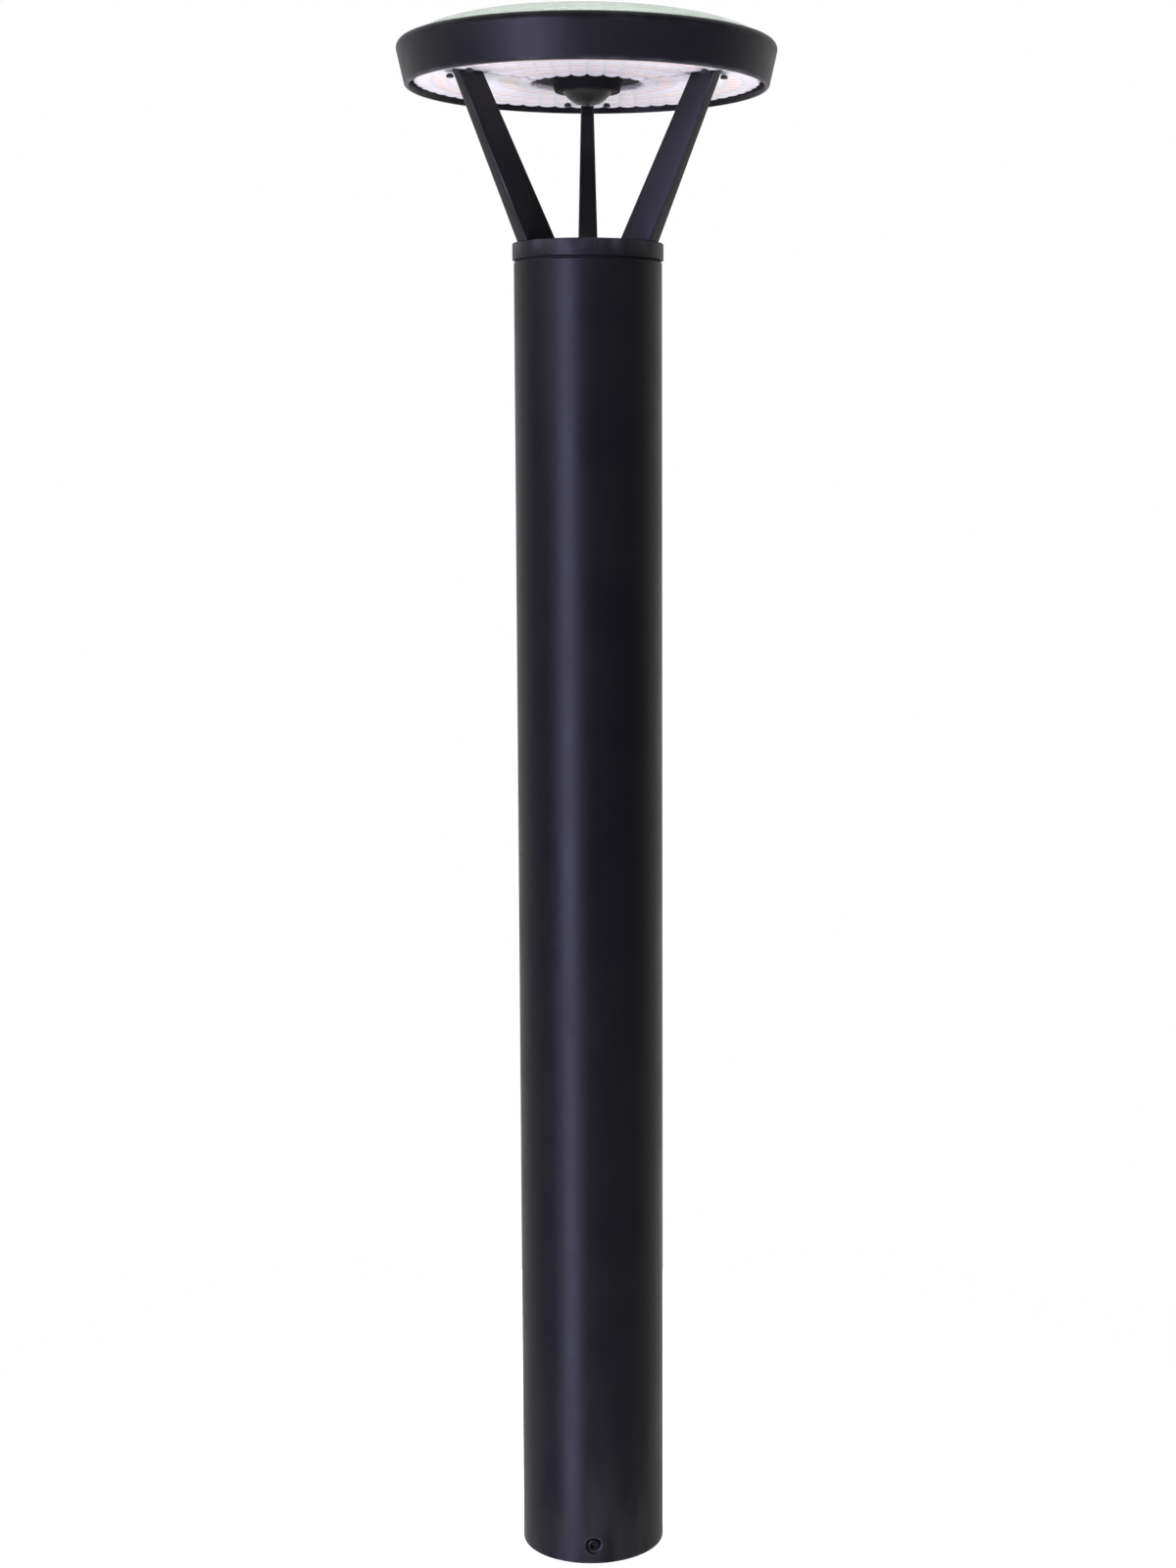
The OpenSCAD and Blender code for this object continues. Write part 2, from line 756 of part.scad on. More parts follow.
module skirt()
    difference() {
        third(lens_edge_in, lens_edge_out, lens_seam / 2, 0);
        third(lens_edge_in + lens_skirt_w, lens_edge_out - lens_skirt_w,
            lens_seam / 2 + lens_skirt_w / 2, lens_skirt_w / 2);
    }

module lens_front() lens(FRONT);
module lens_left() lens(LEFT);
module lens_right() lens(RIGHT);

module lens_gaskets() color([0.7, 0.7, 0.7])
    at_each(BETWEEN) translate([0, 0, z_floor0 - lens_gasket_t])
        linear_extrude(lens_gasket_t) skirt();

module lens_screws() color([0.1, 0.1, 0.1])
    at_each(BETWEEN) for (s = SCREW_SPOTS)
        translate([s[0], s[1], z_lens]) rotate([180, 0, 0])
        socket_screw(lens_screw_d, lens_drop + blind - blind_gap, lens_screw_head_d,
            lens_screw_head_h, lens_screw_key);

// -------------------------------------------------------- motion sensor

// Flange and tapering bezel round the sensor's lens
module sensor_housing() color([0.05, 0.05, 0.06])
    difference() {
        rotate_extrude() difference() {
            polygon([
                [0, z_floor0], [sensor_flange_r, z_floor0],
                [sensor_flange_r, z_floor0 - sensor_flange_t],
                [sensor_root_r, z_floor0 - sensor_flange_t],
                [sensor_waist_r, sensor_z - sensor_waist_drop],
                [sensor_r + sensor_mouth_w, sensor_z - sensor_mouth_drop],
                [0, sensor_z - sensor_mouth_drop]
            ]);
            translate([0, sensor_z - 2 * sensor_mouth_drop])
                square([sensor_r + slip, 3 * sensor_mouth_drop]);
            translate([0, sensor_z]) square([sensor_r + sensor_ledge + slip, 2 * bay_h]);
        }
        at_each(BETWEEN) at_radius(sensor_screw_at, z_floor0 - sensor_flange_t + sensor_pilot_skin)
            cylinder(d = lens_screw_d + slip, h = sensor_flange_t);
    }

// Domed Fresnel window with the flange that holds it
module sensor_lens() color([0.15, 0.15, 0.16])
    translate([0, 0, sensor_z]) rotate_extrude() union() {
        difference() {
            circle(r = sensor_r);
            circle(r = sensor_r - sensor_wall);
            translate([-2 * sensor_r, -2 * sensor_r]) square([2 * sensor_r, 4 * sensor_r]);
            translate([-2 * sensor_r, 0]) square([4 * sensor_r, 2 * sensor_r]);
        }
        translate([sensor_r - sensor_wall, 0])
            square([sensor_ledge + sensor_wall, sensor_seat_h]);
    }

module sensor_board() color([0.1, 0.35, 0.2])
    translate([0, 0, sensor_z + sensor_seat_h])
        cylinder(r = sensor_r + sensor_ledge - slip, h = sensor_board_t);

module sensor_seal() color([0.2, 0.2, 0.2])
    translate([0, 0, sensor_z + sensor_seat_h + sensor_board_t])
        ring(sensor_r + sensor_ledge - slip, centre_bore_r,
            z_floor0 - sensor_z - sensor_seat_h - sensor_board_t);

module pyro_sensor() color([0.75, 0.72, 0.6])
    translate([0, 0, sensor_z + sensor_seat_h - pyro_h]) difference() {
        union() {
            cylinder(r = pyro_r, h = pyro_h);
            translate([0, 0, pyro_h - pyro_rim_t]) cylinder(r = pyro_r + pyro_rim, h = pyro_rim_t);
        }
        translate([-pyro_window[0] / 2, -pyro_window[1] / 2, -past])
            cube([pyro_window[0], pyro_window[1], past + pyro_recess]);
    }

module sensor_screws() color([0.6, 0.6, 0.62])
    at_each(BETWEEN) at_radius(sensor_screw_at, z_floor1)
        socket_screw(lens_screw_d, floor_t + sensor_flange_t - past, sensor_screw_head_d,
            sensor_screw_head_h, sensor_screw_key);

// ------------------------------------------------- solar panel and cover

module solar_tray() color([0.85, 0.85, 0.83])
    translate([0, 0, z_tray]) difference() {
        cylinder(r = tray_r, h = tray_t);
        at_each(BETWEEN) at_radius(post_at, 0) {
            translate([0, 0, -past])
                cylinder(d = tray_screw_d + 2 * hole_gap, h = tray_t + 2 * past);
            translate([0, 0, tray_t - (tray_screw_head_d - tray_screw_d) / 2 - hole_gap])
                cylinder(d1 = tray_screw_d, d2 = tray_screw_head_d + 2 * hole_gap + past,
                    h = (tray_screw_head_d - tray_screw_d + 2 * hole_gap + past) / 2);
        }
    }

module solar_cells() color([0.06, 0.08, 0.2])
    for (i = [-pv_count:pv_count], j = [-pv_count:pv_count]) {
        far = norm([(abs(i) + 0.5) * pv_pitch, (abs(j) + 0.5) * pv_pitch]);
        screw_gap = min([for (a = BETWEEN)
            norm([post_at * cos(a) - i * pv_pitch, post_at * sin(a) - j * pv_pitch])]);
        if (far < tray_r - pv_margin && screw_gap > pv_screw_gap)
            translate([i * pv_pitch, j * pv_pitch, z_tray + tray_t]) pv_cell();
    }

// One cell, its corners cropped by the round wafer it was sawn from
module pv_cell()
    linear_extrude(pv_t) intersection() {
        square(pv_size, center = true);
        circle(r = pv_crop_r);
    }

module tray_screws() color([0.6, 0.6, 0.62])
    at_each(BETWEEN) at_radius(post_at, z_tray + tray_t)
        flat_screw(tray_screw_d, tray_screw_len, tray_screw_head_d, tray_screw_key);

module dome_gasket() color([0.05, 0.05, 0.05])
    translate([0, 0, z_ledge]) ring(dome_r, dome_r - dome_flange_w, dome_gasket_t);

// Height of the dome above the rim at a radius, for an outer size and rise
function dome_z(r, ro, rise) = rise * (1 - pow(r / ro, dome_power));

module dome_cover() color([0.8, 0.88, 0.82, 0.5]) {
    rise_in = dome_rise - dome_wall;
    ri = dome_r - dome_flange_w;
    translate([0, 0, z_head1]) rotate_extrude() polygon(concat(
        [[dome_r, dome_gasket_t - ledge_h]],
        [for (k = [dome_steps:-1:0])
            let (r = dome_r * sqrt(k / dome_steps)) [r, dome_z(r, dome_r, dome_rise)]],
        [for (k = [0:dome_steps])
            let (r = ri * sqrt(k / dome_steps)) [r, dome_z(r, ri, rise_in)]],
        [[ri, dome_gasket_t - ledge_h]]
    ));
}

// Breather that lets the head equalise without taking in water
module vent_plug() color([0.08, 0.08, 0.08])
    rotate([0, 0, vent_angle]) at_radius(vent_at, z_floor1) {
        difference() {
            union() {
                cylinder(d = vent_head_d, h = vent_head_h);
                translate([0, 0, -floor_t]) cylinder(d = vent_d, h = floor_t + eps);
            }
            translate([0, 0, -floor_t - past]) cylinder(d = vent_bore_d, h = floor_t + 2 * past);
        }
    }

// --------------------------------------------------------------- wiring

// Junction block on the floor of the head, in front of the rear strut
module head_connector() color([0.85, 0.85, 0.8])
    translate([-head_plug_w / 2, head_plug_y - head_plug_l / 2, z_floor1])
        cube([head_plug_w, head_plug_l, head_plug_h]);

harness_path = concat(
    smooth([
        [0, ctrl_plug_at, z_plug_top], [0, ctrl_plug_at, z_plug_top + 6],
        way(z_cap0 - 12), way(z_cap0)
    ], 3),
    [for (k = [1:way_rings]) way(z_cap0 + k * way_step)],
    smooth([
        way(z_way_out - 3), way(z_way_out),
        [0, head_plug_y + 20, z_floor1 + 6.5], [0, head_plug_y + 10, z_floor1 + 4],
        [0, head_plug_y + head_plug_l / 2, z_floor1 + 3.5]
    ], 3)
);
module harness_cable() color([0.05, 0.05, 0.05])
    cord(harness_path, harness_d, [1, 0, 0], [0, 0, 1], [0, -1, 0]);

module sensor_lead() color([0.75, 0.75, 0.75])
    cord(smooth([
        [0, head_plug_y - head_plug_l / 2, z_floor1 + 3],
        [0, 46, z_floor1 + 3], [0, 26, z_floor1 + 3],
        [0, 8, z_floor1 + 3], [0, 1, z_floor1 - 1],
        [0, 0, sensor_z + sensor_seat_h + sensor_board_t]
    ], 3), lead_d, [1, 0, 0], [0, -1, 0], [0, 0, -1]);

module panel_lead() color([0.7, 0.1, 0.1])
    cord(smooth([
        [-9, head_plug_y - head_plug_l / 2, z_floor1 + 4],
        [-9, 52, z_floor1 + 4], [-9, 44, z_floor1 + 6], [-9, 38, z_floor1 + 9],
        [-9, 36, z_tray]
    ], 3), lead_d, [1, 0, 0], [0, -1, 0], [0, 0, 1]);

// Leads from the junction block down to the three LED boards
module led_leads() color([0.8, 0.8, 0.2]) {
    for (s = [-1, 1]) cord(smooth([
        [s * head_plug_w / 2, head_plug_y, z_floor1 + 3],
        [s * 16, 62, z_floor1 + 3], [s * 17, 58, z_floor1 + 2],
        [s * 17, 57, z_floor1 - 1], [s * 17, 57, z_floor0]
    ], 3), lead_d, [s, 1.5, 0.2], [s, 0, 0], [0, 0, -1]);
    cord(smooth([
        [9, head_plug_y - head_plug_l / 2, z_floor1 + 3],
        [14, 40, z_floor1 + 3], [22, 12, z_floor1 + 3], [19, -20, z_floor1 + 3],
        [6, -44, z_floor1 + 3], [0, -50, z_floor1], [0, -50, z_floor0]
    ], 3), lead_d, [1, 0.5, 0], [0, -1, 0], [0, 0, -1]);
}

// ------------------------------------------------------ battery cartridge

// Three tie rods that hang the controller and the cells from the cap
module tie_rods() color([0.7, 0.7, 0.72])
    at_each(BETWEEN) at_radius(rod_at, web_z(cell_layers) - rod_tail)
        cylinder(d = rod_d, h = z_cap0 + rod_grip - web_z(cell_layers) + rod_tail);

module rod_spacers() color([0.8, 0.8, 0.78])
    at_each(BETWEEN) {
        at_radius(rod_at, z_board + board_t)
            ring(spacer_d / 2, rod_d / 2 + slip, board_drop - board_t);
        at_radius(rod_at, z_holder) ring(spacer_d / 2, rod_d / 2 + slip, ctrl_gap);
    }

module rod_nuts() color([0.7, 0.7, 0.72])
    at_each(BETWEEN) at_radius(rod_at, web_z(cell_layers) - nut_h)
        difference() {
            cylinder(d = nut_w / cos(30), h = nut_h, $fn = 6);
            translate([0, 0, -past]) cylinder(d = rod_d + slip, h = nut_h + 2 * past);
        }

// Five plates with sockets that keep the cells apart
module cell_holders() color([0.1, 0.1, 0.1])
    for (i = [0:cell_layers]) translate([0, 0, web_z(i)]) {
        above = i == 0 ? 0 : cell_grip;
        below = i == cell_layers ? 0 : cell_grip;
        difference() {
            translate([0, 0, -below]) cylinder(r = holder_r, h = below + web_t + above);
            for (z = [web_t, -2 * cell_grip]) translate([0, 0, z])
                linear_extrude(2 * cell_grip) union() {
                    at_each(STRUTS) translate([cell_at, 0])
                        circle(d = cell_d + 2 * cell_fit);
                    bus_plan(cell_fit);
                }
            at_each(BETWEEN) at_radius(rod_at, -2 * cell_grip)
                cylinder(d = rod_d + 2 * slip, h = 5 * cell_grip);
        }
    }

// Plan of a three-armed bus plate, grown all round
module bus_plan(grow)
    at_each(STRUTS) translate([0, -bus_w / 2 - grow])
        square([cell_at + bus_reach + grow, bus_w + 2 * grow]);

module bus_plates() color([0.75, 0.73, 0.68])
    for (i = [0:cell_layers - 1], z = [web_z(i) - bus_t, web_z(i + 1) + web_t])
        translate([0, 0, z]) linear_extrude(bus_t) bus_plan(0);

// Cell with a small raised positive cap
module battery_cells() color([0.1, 0.3, 0.6])
    for (i = [0:cell_layers - 1])
        at_each(STRUTS) at_radius(cell_at, web_z(i + 1) + web_t + bus_t)
        union() {
            cylinder(d = cell_d, h = cell_len - cell_cap_h);
            cylinder(d = cell_cap_d, h = cell_len);
        }

module battery_plug() color([0.9, 0.9, 0.85])
    rotate([0, 0, STRUTS[1]]) translate([battery_plug_at, -battery_plug_size[1] / 2, z_holder])
        cube(battery_plug_size);

// ------------------------------------------------------------- controller

module controller_board() color([0.05, 0.3, 0.15])
    translate([0, 0, z_board]) difference() {
        cylinder(r = ctrl_board_r, h = board_t);
        at_each(BETWEEN) at_radius(rod_at, -past)
            cylinder(d = rod_d + 2 * slip, h = board_t + 2 * past);
        rotate([0, 0, STRUTS[1]]) at_radius(battery_way_at, -past)
            cylinder(d = battery_way_d, h = board_t + 2 * past);
    }

// Coil, two capacitors and a heat sink with fins
module controller_parts() color([0.3, 0.3, 0.32])
    translate([0, 0, z_board + board_t]) {
        translate(coil_at) difference() {
            cylinder(r = coil_r, h = coil_h);
            translate([0, 0, coil_base]) cylinder(r = coil_eye_r, h = coil_h);
        }
        for (p = cap_can_at) translate(p) cylinder(r = cap_can_r, h = cap_can_h);
        translate(sink_at) union() {
            cube([sink_size[0], sink_size[1], sink_base]);
            for (y = sink_fins) translate([0, y, 0])
                cube([sink_size[0], sink_fin_t, sink_fin_h]);
        }
    }

module controller_plugs() color([0.9, 0.9, 0.85])
    translate([0, 0, z_board + board_t]) {
        translate([-ctrl_plug_size[0] / 2, ctrl_plug_at - ctrl_plug_size[1] / 2, 0])
            cube([ctrl_plug_size[0], ctrl_plug_size[1], plug_h]);
        rotate([0, 0, STRUTS[1]]) translate([battery_socket_at, -battery_plug_size[1] / 2, 0])
            cube([battery_plug_size[0], battery_plug_size[1], plug_h]);
    }

module battery_lead() color([0.7, 0.1, 0.1])
    rotate([0, 0, STRUTS[1]]) cord(smooth([
        [18, 0, z_plug_top], [18, 0, z_plug_top + 4], [22, 0, z_plug_top + 7],
        [battery_way_at, 0, z_plug_top + 3], [battery_way_at, 0, z_board + 8],
        [battery_way_at, 0, z_board - 4], [battery_way_at, 0, z_holder + battery_plug_size[2]]
    ], 3), battery_lead_d, [0, 1, 0], [0, 0, 1], [0, 0, -1]);

anchor_base();
base_screws();
pole_shaft();
pole_top_ring();
cap_gasket();
pole_cap();
cap_screws();
strut_rear();
strut_left();
strut_right();
foot_screws();
head_screws();
head_housing();
led_board_front();
led_board_left();
led_board_right();
led_emitters();
lens_front();
lens_left();
lens_right();
lens_gaskets();
lens_screws();
sensor_housing();
sensor_lens();
sensor_board();
sensor_seal();
pyro_sensor();
sensor_screws();
solar_tray();
solar_cells();
tray_screws();
dome_gasket();
dome_cover();
vent_plug();
head_connector();
harness_cable();
sensor_lead();
panel_lead();
led_leads();
tie_rods();
rod_spacers();
rod_nuts();
cell_holders();
battery_cells();
bus_plates();
battery_plug();
controller_board();
controller_parts();
controller_plugs();
battery_lead();
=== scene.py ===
"""Solar bollard light: the looks of its pieces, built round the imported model.

Every visible piece is a surface worked out on a grid with numpy, in metres and
in the model's own frame: origin on the ground at the middle of the pole, +Z up,
front at -Y.  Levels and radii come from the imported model's boxes.
"""
import json
import logging
import math
from dataclasses import dataclass, field
from enum import Enum
from typing import Callable, Iterable, Optional

import bmesh
import bpy
import numpy as np
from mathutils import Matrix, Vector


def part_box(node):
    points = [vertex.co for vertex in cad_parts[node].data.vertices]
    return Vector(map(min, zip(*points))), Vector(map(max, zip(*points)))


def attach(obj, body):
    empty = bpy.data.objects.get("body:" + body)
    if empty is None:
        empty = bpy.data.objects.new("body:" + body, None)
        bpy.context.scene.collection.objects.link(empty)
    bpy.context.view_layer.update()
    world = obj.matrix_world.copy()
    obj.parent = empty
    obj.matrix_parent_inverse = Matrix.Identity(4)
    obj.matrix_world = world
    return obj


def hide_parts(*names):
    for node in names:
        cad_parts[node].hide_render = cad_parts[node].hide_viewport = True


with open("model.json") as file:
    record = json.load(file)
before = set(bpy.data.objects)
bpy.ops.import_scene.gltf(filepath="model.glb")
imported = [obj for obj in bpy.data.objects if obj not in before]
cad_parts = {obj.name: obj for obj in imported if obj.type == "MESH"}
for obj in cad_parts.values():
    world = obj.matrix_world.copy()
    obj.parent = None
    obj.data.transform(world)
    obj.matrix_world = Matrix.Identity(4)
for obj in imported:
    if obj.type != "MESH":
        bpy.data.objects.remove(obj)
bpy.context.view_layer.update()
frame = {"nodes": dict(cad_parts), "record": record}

LOG = logging.getLogger("bollard")
MM = 0.001

# Directions from above, in degrees from +X: the struts', the lens plates' and the screws'
STRUT_ANGLES = {"strut_rear": 90.0, "strut_left": 210.0, "strut_right": 330.0}
THIRDS = {"lens_front": 270.0, "lens_left": 150.0, "lens_right": 30.0}
FIXING_ANGLES = (270.0, 30.0, 150.0)

# How rubbed the finish is at outer edges, hole rims and screw seats, 0 to 1
EDGE_WEAR, HOLE_WEAR, SEAT_WEAR = 0.9, 0.6, 0.5

Array = np.ndarray


# ------------------------------------------------------------------ geometry


def polar(radius: float | Array, angle: float | Array, height: float | Array) -> Array:
    """Points (x, y, z) at distances from the axis, angles in radians and heights."""
    radius, angle, height = np.broadcast_arrays(radius, angle, height)
    return np.stack([radius * np.cos(angle), radius * np.sin(angle), height], axis=-1)


def turned(points: Array, degrees: float) -> Array:
    """Points turned about the Z axis by an angle in degrees."""
    c, s = math.cos(math.radians(degrees)), math.sin(math.radians(degrees))
    return points @ np.array([[c, s, 0.0], [-s, c, 0.0], [0.0, 0.0, 1.0]])


def circle(sides: int) -> Array:
    """Angles in radians of evenly spaced columns round the axis."""
    return np.arange(sides) * 2.0 * math.pi / sides


def arc(r: float, z: float, radius: float, start: float, stop: float, steps: int) -> list:
    """Points of a round stretch of an outline.

    Args:
        r: Distance of the arc's centre from the axis.
        z: Height of the arc's centre.
        radius: Radius of the arc.
        start: First angle in degrees, from outwards towards up.
        stop: Last angle in degrees.
        steps: Number of spans.

    Returns:
        A list of (r, z) pairs.
    """
    angle = np.radians(np.linspace(start, stop, steps + 1))
    return list(zip(r + radius * np.cos(angle), z + radius * np.sin(angle)))


@dataclass
class Shell:
    """Closed surfaces gathered from grids of points, then made one mesh."""

    blocks: list = field(default_factory=list)
    faces: list = field(default_factory=list)
    marks: dict = field(default_factory=dict)
    count: int = 0

    def mark(self, name: str, idx: Array, value: float | Array) -> None:
        """Keeps a number for some points, to be read by the finish; others get 0."""
        self.marks.setdefault(name, []).append((idx, value))

    def add(self, points: Array, wear: float | Array = 0.0) -> Array:
        """Adds points and returns their indices in the shape of the grid.

        Args:
            points: Array of x, y, z with any leading shape.
            wear: How much the finish is rubbed there, 0 to 1.

        Returns:
            Indices, shaped like the points without their last axis.
        """
        shape = points.shape[:-1]
        idx = self.count + np.arange(math.prod(shape)).reshape(shape)
        self.count += idx.size
        self.blocks.append(points.reshape(-1, 3))
        self.mark("edge_wear", idx, wear)
        return idx

    def sheet(self, idx: Array, wrap: bool = False, skip: Optional[Array] = None) -> None:
        """Fills a grid with quads.

        Args:
            idx: Indices in rows and columns.
            wrap: Whether the last column meets the first.
            skip: True where a cell is left open.
        """
        if wrap:
            idx = np.concatenate([idx, idx[:, :1]], axis=1)
        quads = np.stack([idx[:-1, :-1], idx[:-1, 1:], idx[1:, 1:], idx[1:, :-1]], axis=-1)
        if skip is not None:
            quads = quads[~skip]
        self.faces.append(quads.reshape(-1, 4))

    def band(self, *rings: Array) -> None:
        """Joins closed rings of equally many points, one after the other."""
        self.sheet(np.stack(rings), wrap=True)

    def close(self, ring: Array, centre: Array | tuple) -> None:
        """Closes a ring of indices with a fan of triangles to a point in the middle."""
        hub = self.add(np.array([centre], float))
        self.faces.append(np.stack([ring, np.roll(ring, -1), hub.repeat(len(ring))], axis=-1))

    def rod(self, points: Array, wear: float | Array = 0.0, skip: Optional[Array] = None) -> Array:
        """Adds rows of closed rings and caps both ends at the mean of their rings.

        Args:
            points: Array of x, y, z in rows and columns.
            wear: How much the finish is rubbed there, 0 to 1.
            skip: True where a cell is left open.

        Returns:
            Indices in rows and columns.
        """
        idx = self.add(points, wear)
        self.sheet(idx, wrap=True, skip=skip)
        for end in (0, -1):
            self.close(idx[end], points[end].mean(axis=0))
        return idx

    def build(self, name: str, paints: "Paints", finish: "Finish", *stands_for: str,
              sharp: float = 34.0) -> None:
        """Makes the mesh object, turns its faces outwards and sets its finish.

        Args:
            name: Name of the piece.
            paints: Where the finish's material comes from.
            finish: Its finish, whose name in small letters is the record's material slot.
            stands_for: CAD nodes that the piece replaces.
            sharp: Edges that turn more than this many degrees stay crisp.
        """
        mesh = bpy.data.meshes.new(name)
        faces = [row for block in self.faces for row in block.tolist()]
        mesh.from_pydata(np.concatenate(self.blocks).tolist(), [], faces)
        for key, parts in self.marks.items():
            values = np.zeros(self.count, np.float32)
            for idx, value in parts:
                values[idx] = value
            mesh.attributes.new(key, "FLOAT", "POINT").data.foreach_set("value", values)
        work = bmesh.new()
        work.from_mesh(mesh)
        bmesh.ops.recalc_face_normals(work, faces=work.faces)
        work.to_mesh(mesh)
        work.free()
        mesh.validate()
        mesh.shade_smooth()
        mesh.set_sharp_from_angle(angle=math.radians(sharp))
        mesh.materials.append(paints(finish))
        piece = bpy.data.objects.new(name, mesh)
        bpy.context.scene.collection.objects.link(piece)
        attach(piece, "root")
        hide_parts(*stands_for)
        LOG.info("%s: %d triangles", name, sum(len(f) - 2 for f in faces))


@dataclass(frozen=True)
class Windows:
    """Square windows in a grid round the axis, one towards each fixing.

    Attributes:
        sides: Columns of the grid.
        half: Cells from a window's middle to its side.
        first: Row where the windows start.
    """

    sides: int
    half: int
    first: int

    def middle(self, degrees: float) -> int:
        """The column in a direction."""
        return round(degrees * self.sides / 360.0)

    def cells(self, rows: int) -> Array:
        """True for the cells left open in a grid of so many rows of points."""
        skip = np.zeros((rows - 1, self.sides), bool)
        for column in map(self.middle, FIXING_ANGLES):
            skip[self.first:self.first + 2 * self.half, column - self.half:column + self.half] = True
        return skip

    def rim(self, degrees: float) -> tuple:
        """The points round the window in a direction, in order.

        Args:
            degrees: Direction of the window.

        Returns:
            Their rows, their columns and their turn from the window's middle in radians.
        """
        side = np.arange(2 * self.half)
        low, high = np.zeros_like(side), np.full_like(side, 2 * self.half)
        rows = self.first + np.concatenate([low, side, high, side[::-1] + 1])
        across = np.concatenate([side, high, side[::-1] + 1, low]) - self.half
        return rows, self.middle(degrees) + across, across * 2.0 * math.pi / self.sides


def bore(shell: Shell, rim: Array, flat: Array, place: Callable, steps: list,
         blends: int = 2) -> Array:
    """Runs rings from a window's rim into a round hole.

    Each rim point q has the circle point c = R (cos f, sin f), where f is q's own
    angle and R the hole's widest radius.  Ring k of the blend lies at
    q + (c - q) k / (blends + 1); the later rings are circles going down the hole.

    Args:
        shell: The shell that gets the rings.
        rim: Indices round the window.
        flat: The rim's places in the hole's own plane, measured from its centre.
        place: Maps plane places and a depth to points in space.
        steps: Radius, depth and wear of each ring of the hole.
        blends: Number of rings between the rim and the hole.

    Returns:
        Indices of the last ring.
    """
    angle = np.arctan2(flat[:, 1], flat[:, 0])
    round_ring = np.stack([np.cos(angle), np.sin(angle)], axis=-1)
    share = (np.arange(1, blends + 1) / (blends + 1))[:, None, None]
    between = flat + (steps[0][0] * round_ring - flat) * share
    rings = [rim, *shell.add(place(between, 0.0))]
    for radius, depth, wear in steps:
        rings.append(shell.add(place(radius * round_ring, depth), wear))
    shell.band(*rings)
    return rings[-1]


def revolve(shell: Shell, outline: list, sides: int, wear: float | Array = 0.0) -> None:
    """Turns a closed outline about the Z axis: (r, z) becomes (r cos a, r sin a, z).

    Args:
        shell: The shell that gets the surface.
        outline: (r, z) pairs of a closed ring that stays off the axis.
        sides: Number of columns round the axis.
        wear: Wear of each outline point.
    """
    line = np.array(outline, float)
    rub = np.broadcast_to(np.asarray(wear, float), len(line))
    idx = shell.add(polar(line[:, :1], circle(sides), line[:, 1:]), rub[:, None])
    shell.sheet(np.concatenate([idx, idx[:1]]), wrap=True)


def corner_wear(outline: list, reach: float, most: float) -> Array:
    """Wear along an outline, high where it turns outwards sharply or tightly.

    At each point the turn between the spans beside it is divided by their mean
    length, so a corner or a small rounding scores high and a flat scores nothing.

    Args:
        outline: (r, z) pairs of a loop that runs anticlockwise.
        reach: The turn per metre, in radians, that is rubbed the most.
        most: The wear there.

    Returns:
        The wear of each point.
    """
    line = np.array(outline, float)
    ahead, back = np.roll(line, -1, axis=0) - line, line - np.roll(line, 1, axis=0)
    cross = back[:, 0] * ahead[:, 1] - back[:, 1] * ahead[:, 0]
    dot = (back * ahead).sum(axis=1)
    length = 0.5 * (np.linalg.norm(ahead, axis=1) + np.linalg.norm(back, axis=1))
    return most * np.clip(np.arctan2(cross, dot) / np.maximum(length, 0.02 * MM) / reach, 0.0, 1.0)


# ------------------------------------------------------------------ finishes


class Nodes:
    """A node tree, with one call that adds a node and feeds it."""

    def __init__(self, tree: bpy.types.NodeTree) -> None:
        """Clears a node tree and keeps it."""
        self.nodes, self.links = tree.nodes, tree.links
        self.nodes.clear()

    def node(self, kind: str, feeds: dict, result: int | str = 0,
             **settings: str) -> Optional[bpy.types.NodeSocket]:
        """Adds a node and feeds its inputs.

        Args:
            kind: Its type, without ShaderNode in front.
            feeds: Values to set or output sockets to link, by input name or number.
            result: Name or number of the output that is wanted.
            settings: Properties of the node, such as its operation.

        Returns:
            The output's socket; nothing for a node without outputs.
        """
        node = self.nodes.new("ShaderNode" + kind)
        for key, value in settings.items():
            setattr(node, key, value)
        for key, value in feeds.items():
            self.feed(node.inputs[key], value)
        return node.outputs[result] if node.outputs else None

    def feed(self, socket: bpy.types.NodeSocket, value: object) -> None:
        """Sets a socket to a value, or links an output socket into it."""
        if isinstance(value, bpy.types.NodeSocket):
            self.links.new(value, socket)
        else:
            socket.default_value = value

    def span(self, value: object, *ends: float) -> bpy.types.NodeSocket:
        """A number carried from the range of the first two ends to that of the last two."""
        return self.node("MapRange", dict(enumerate((value, *ends))))


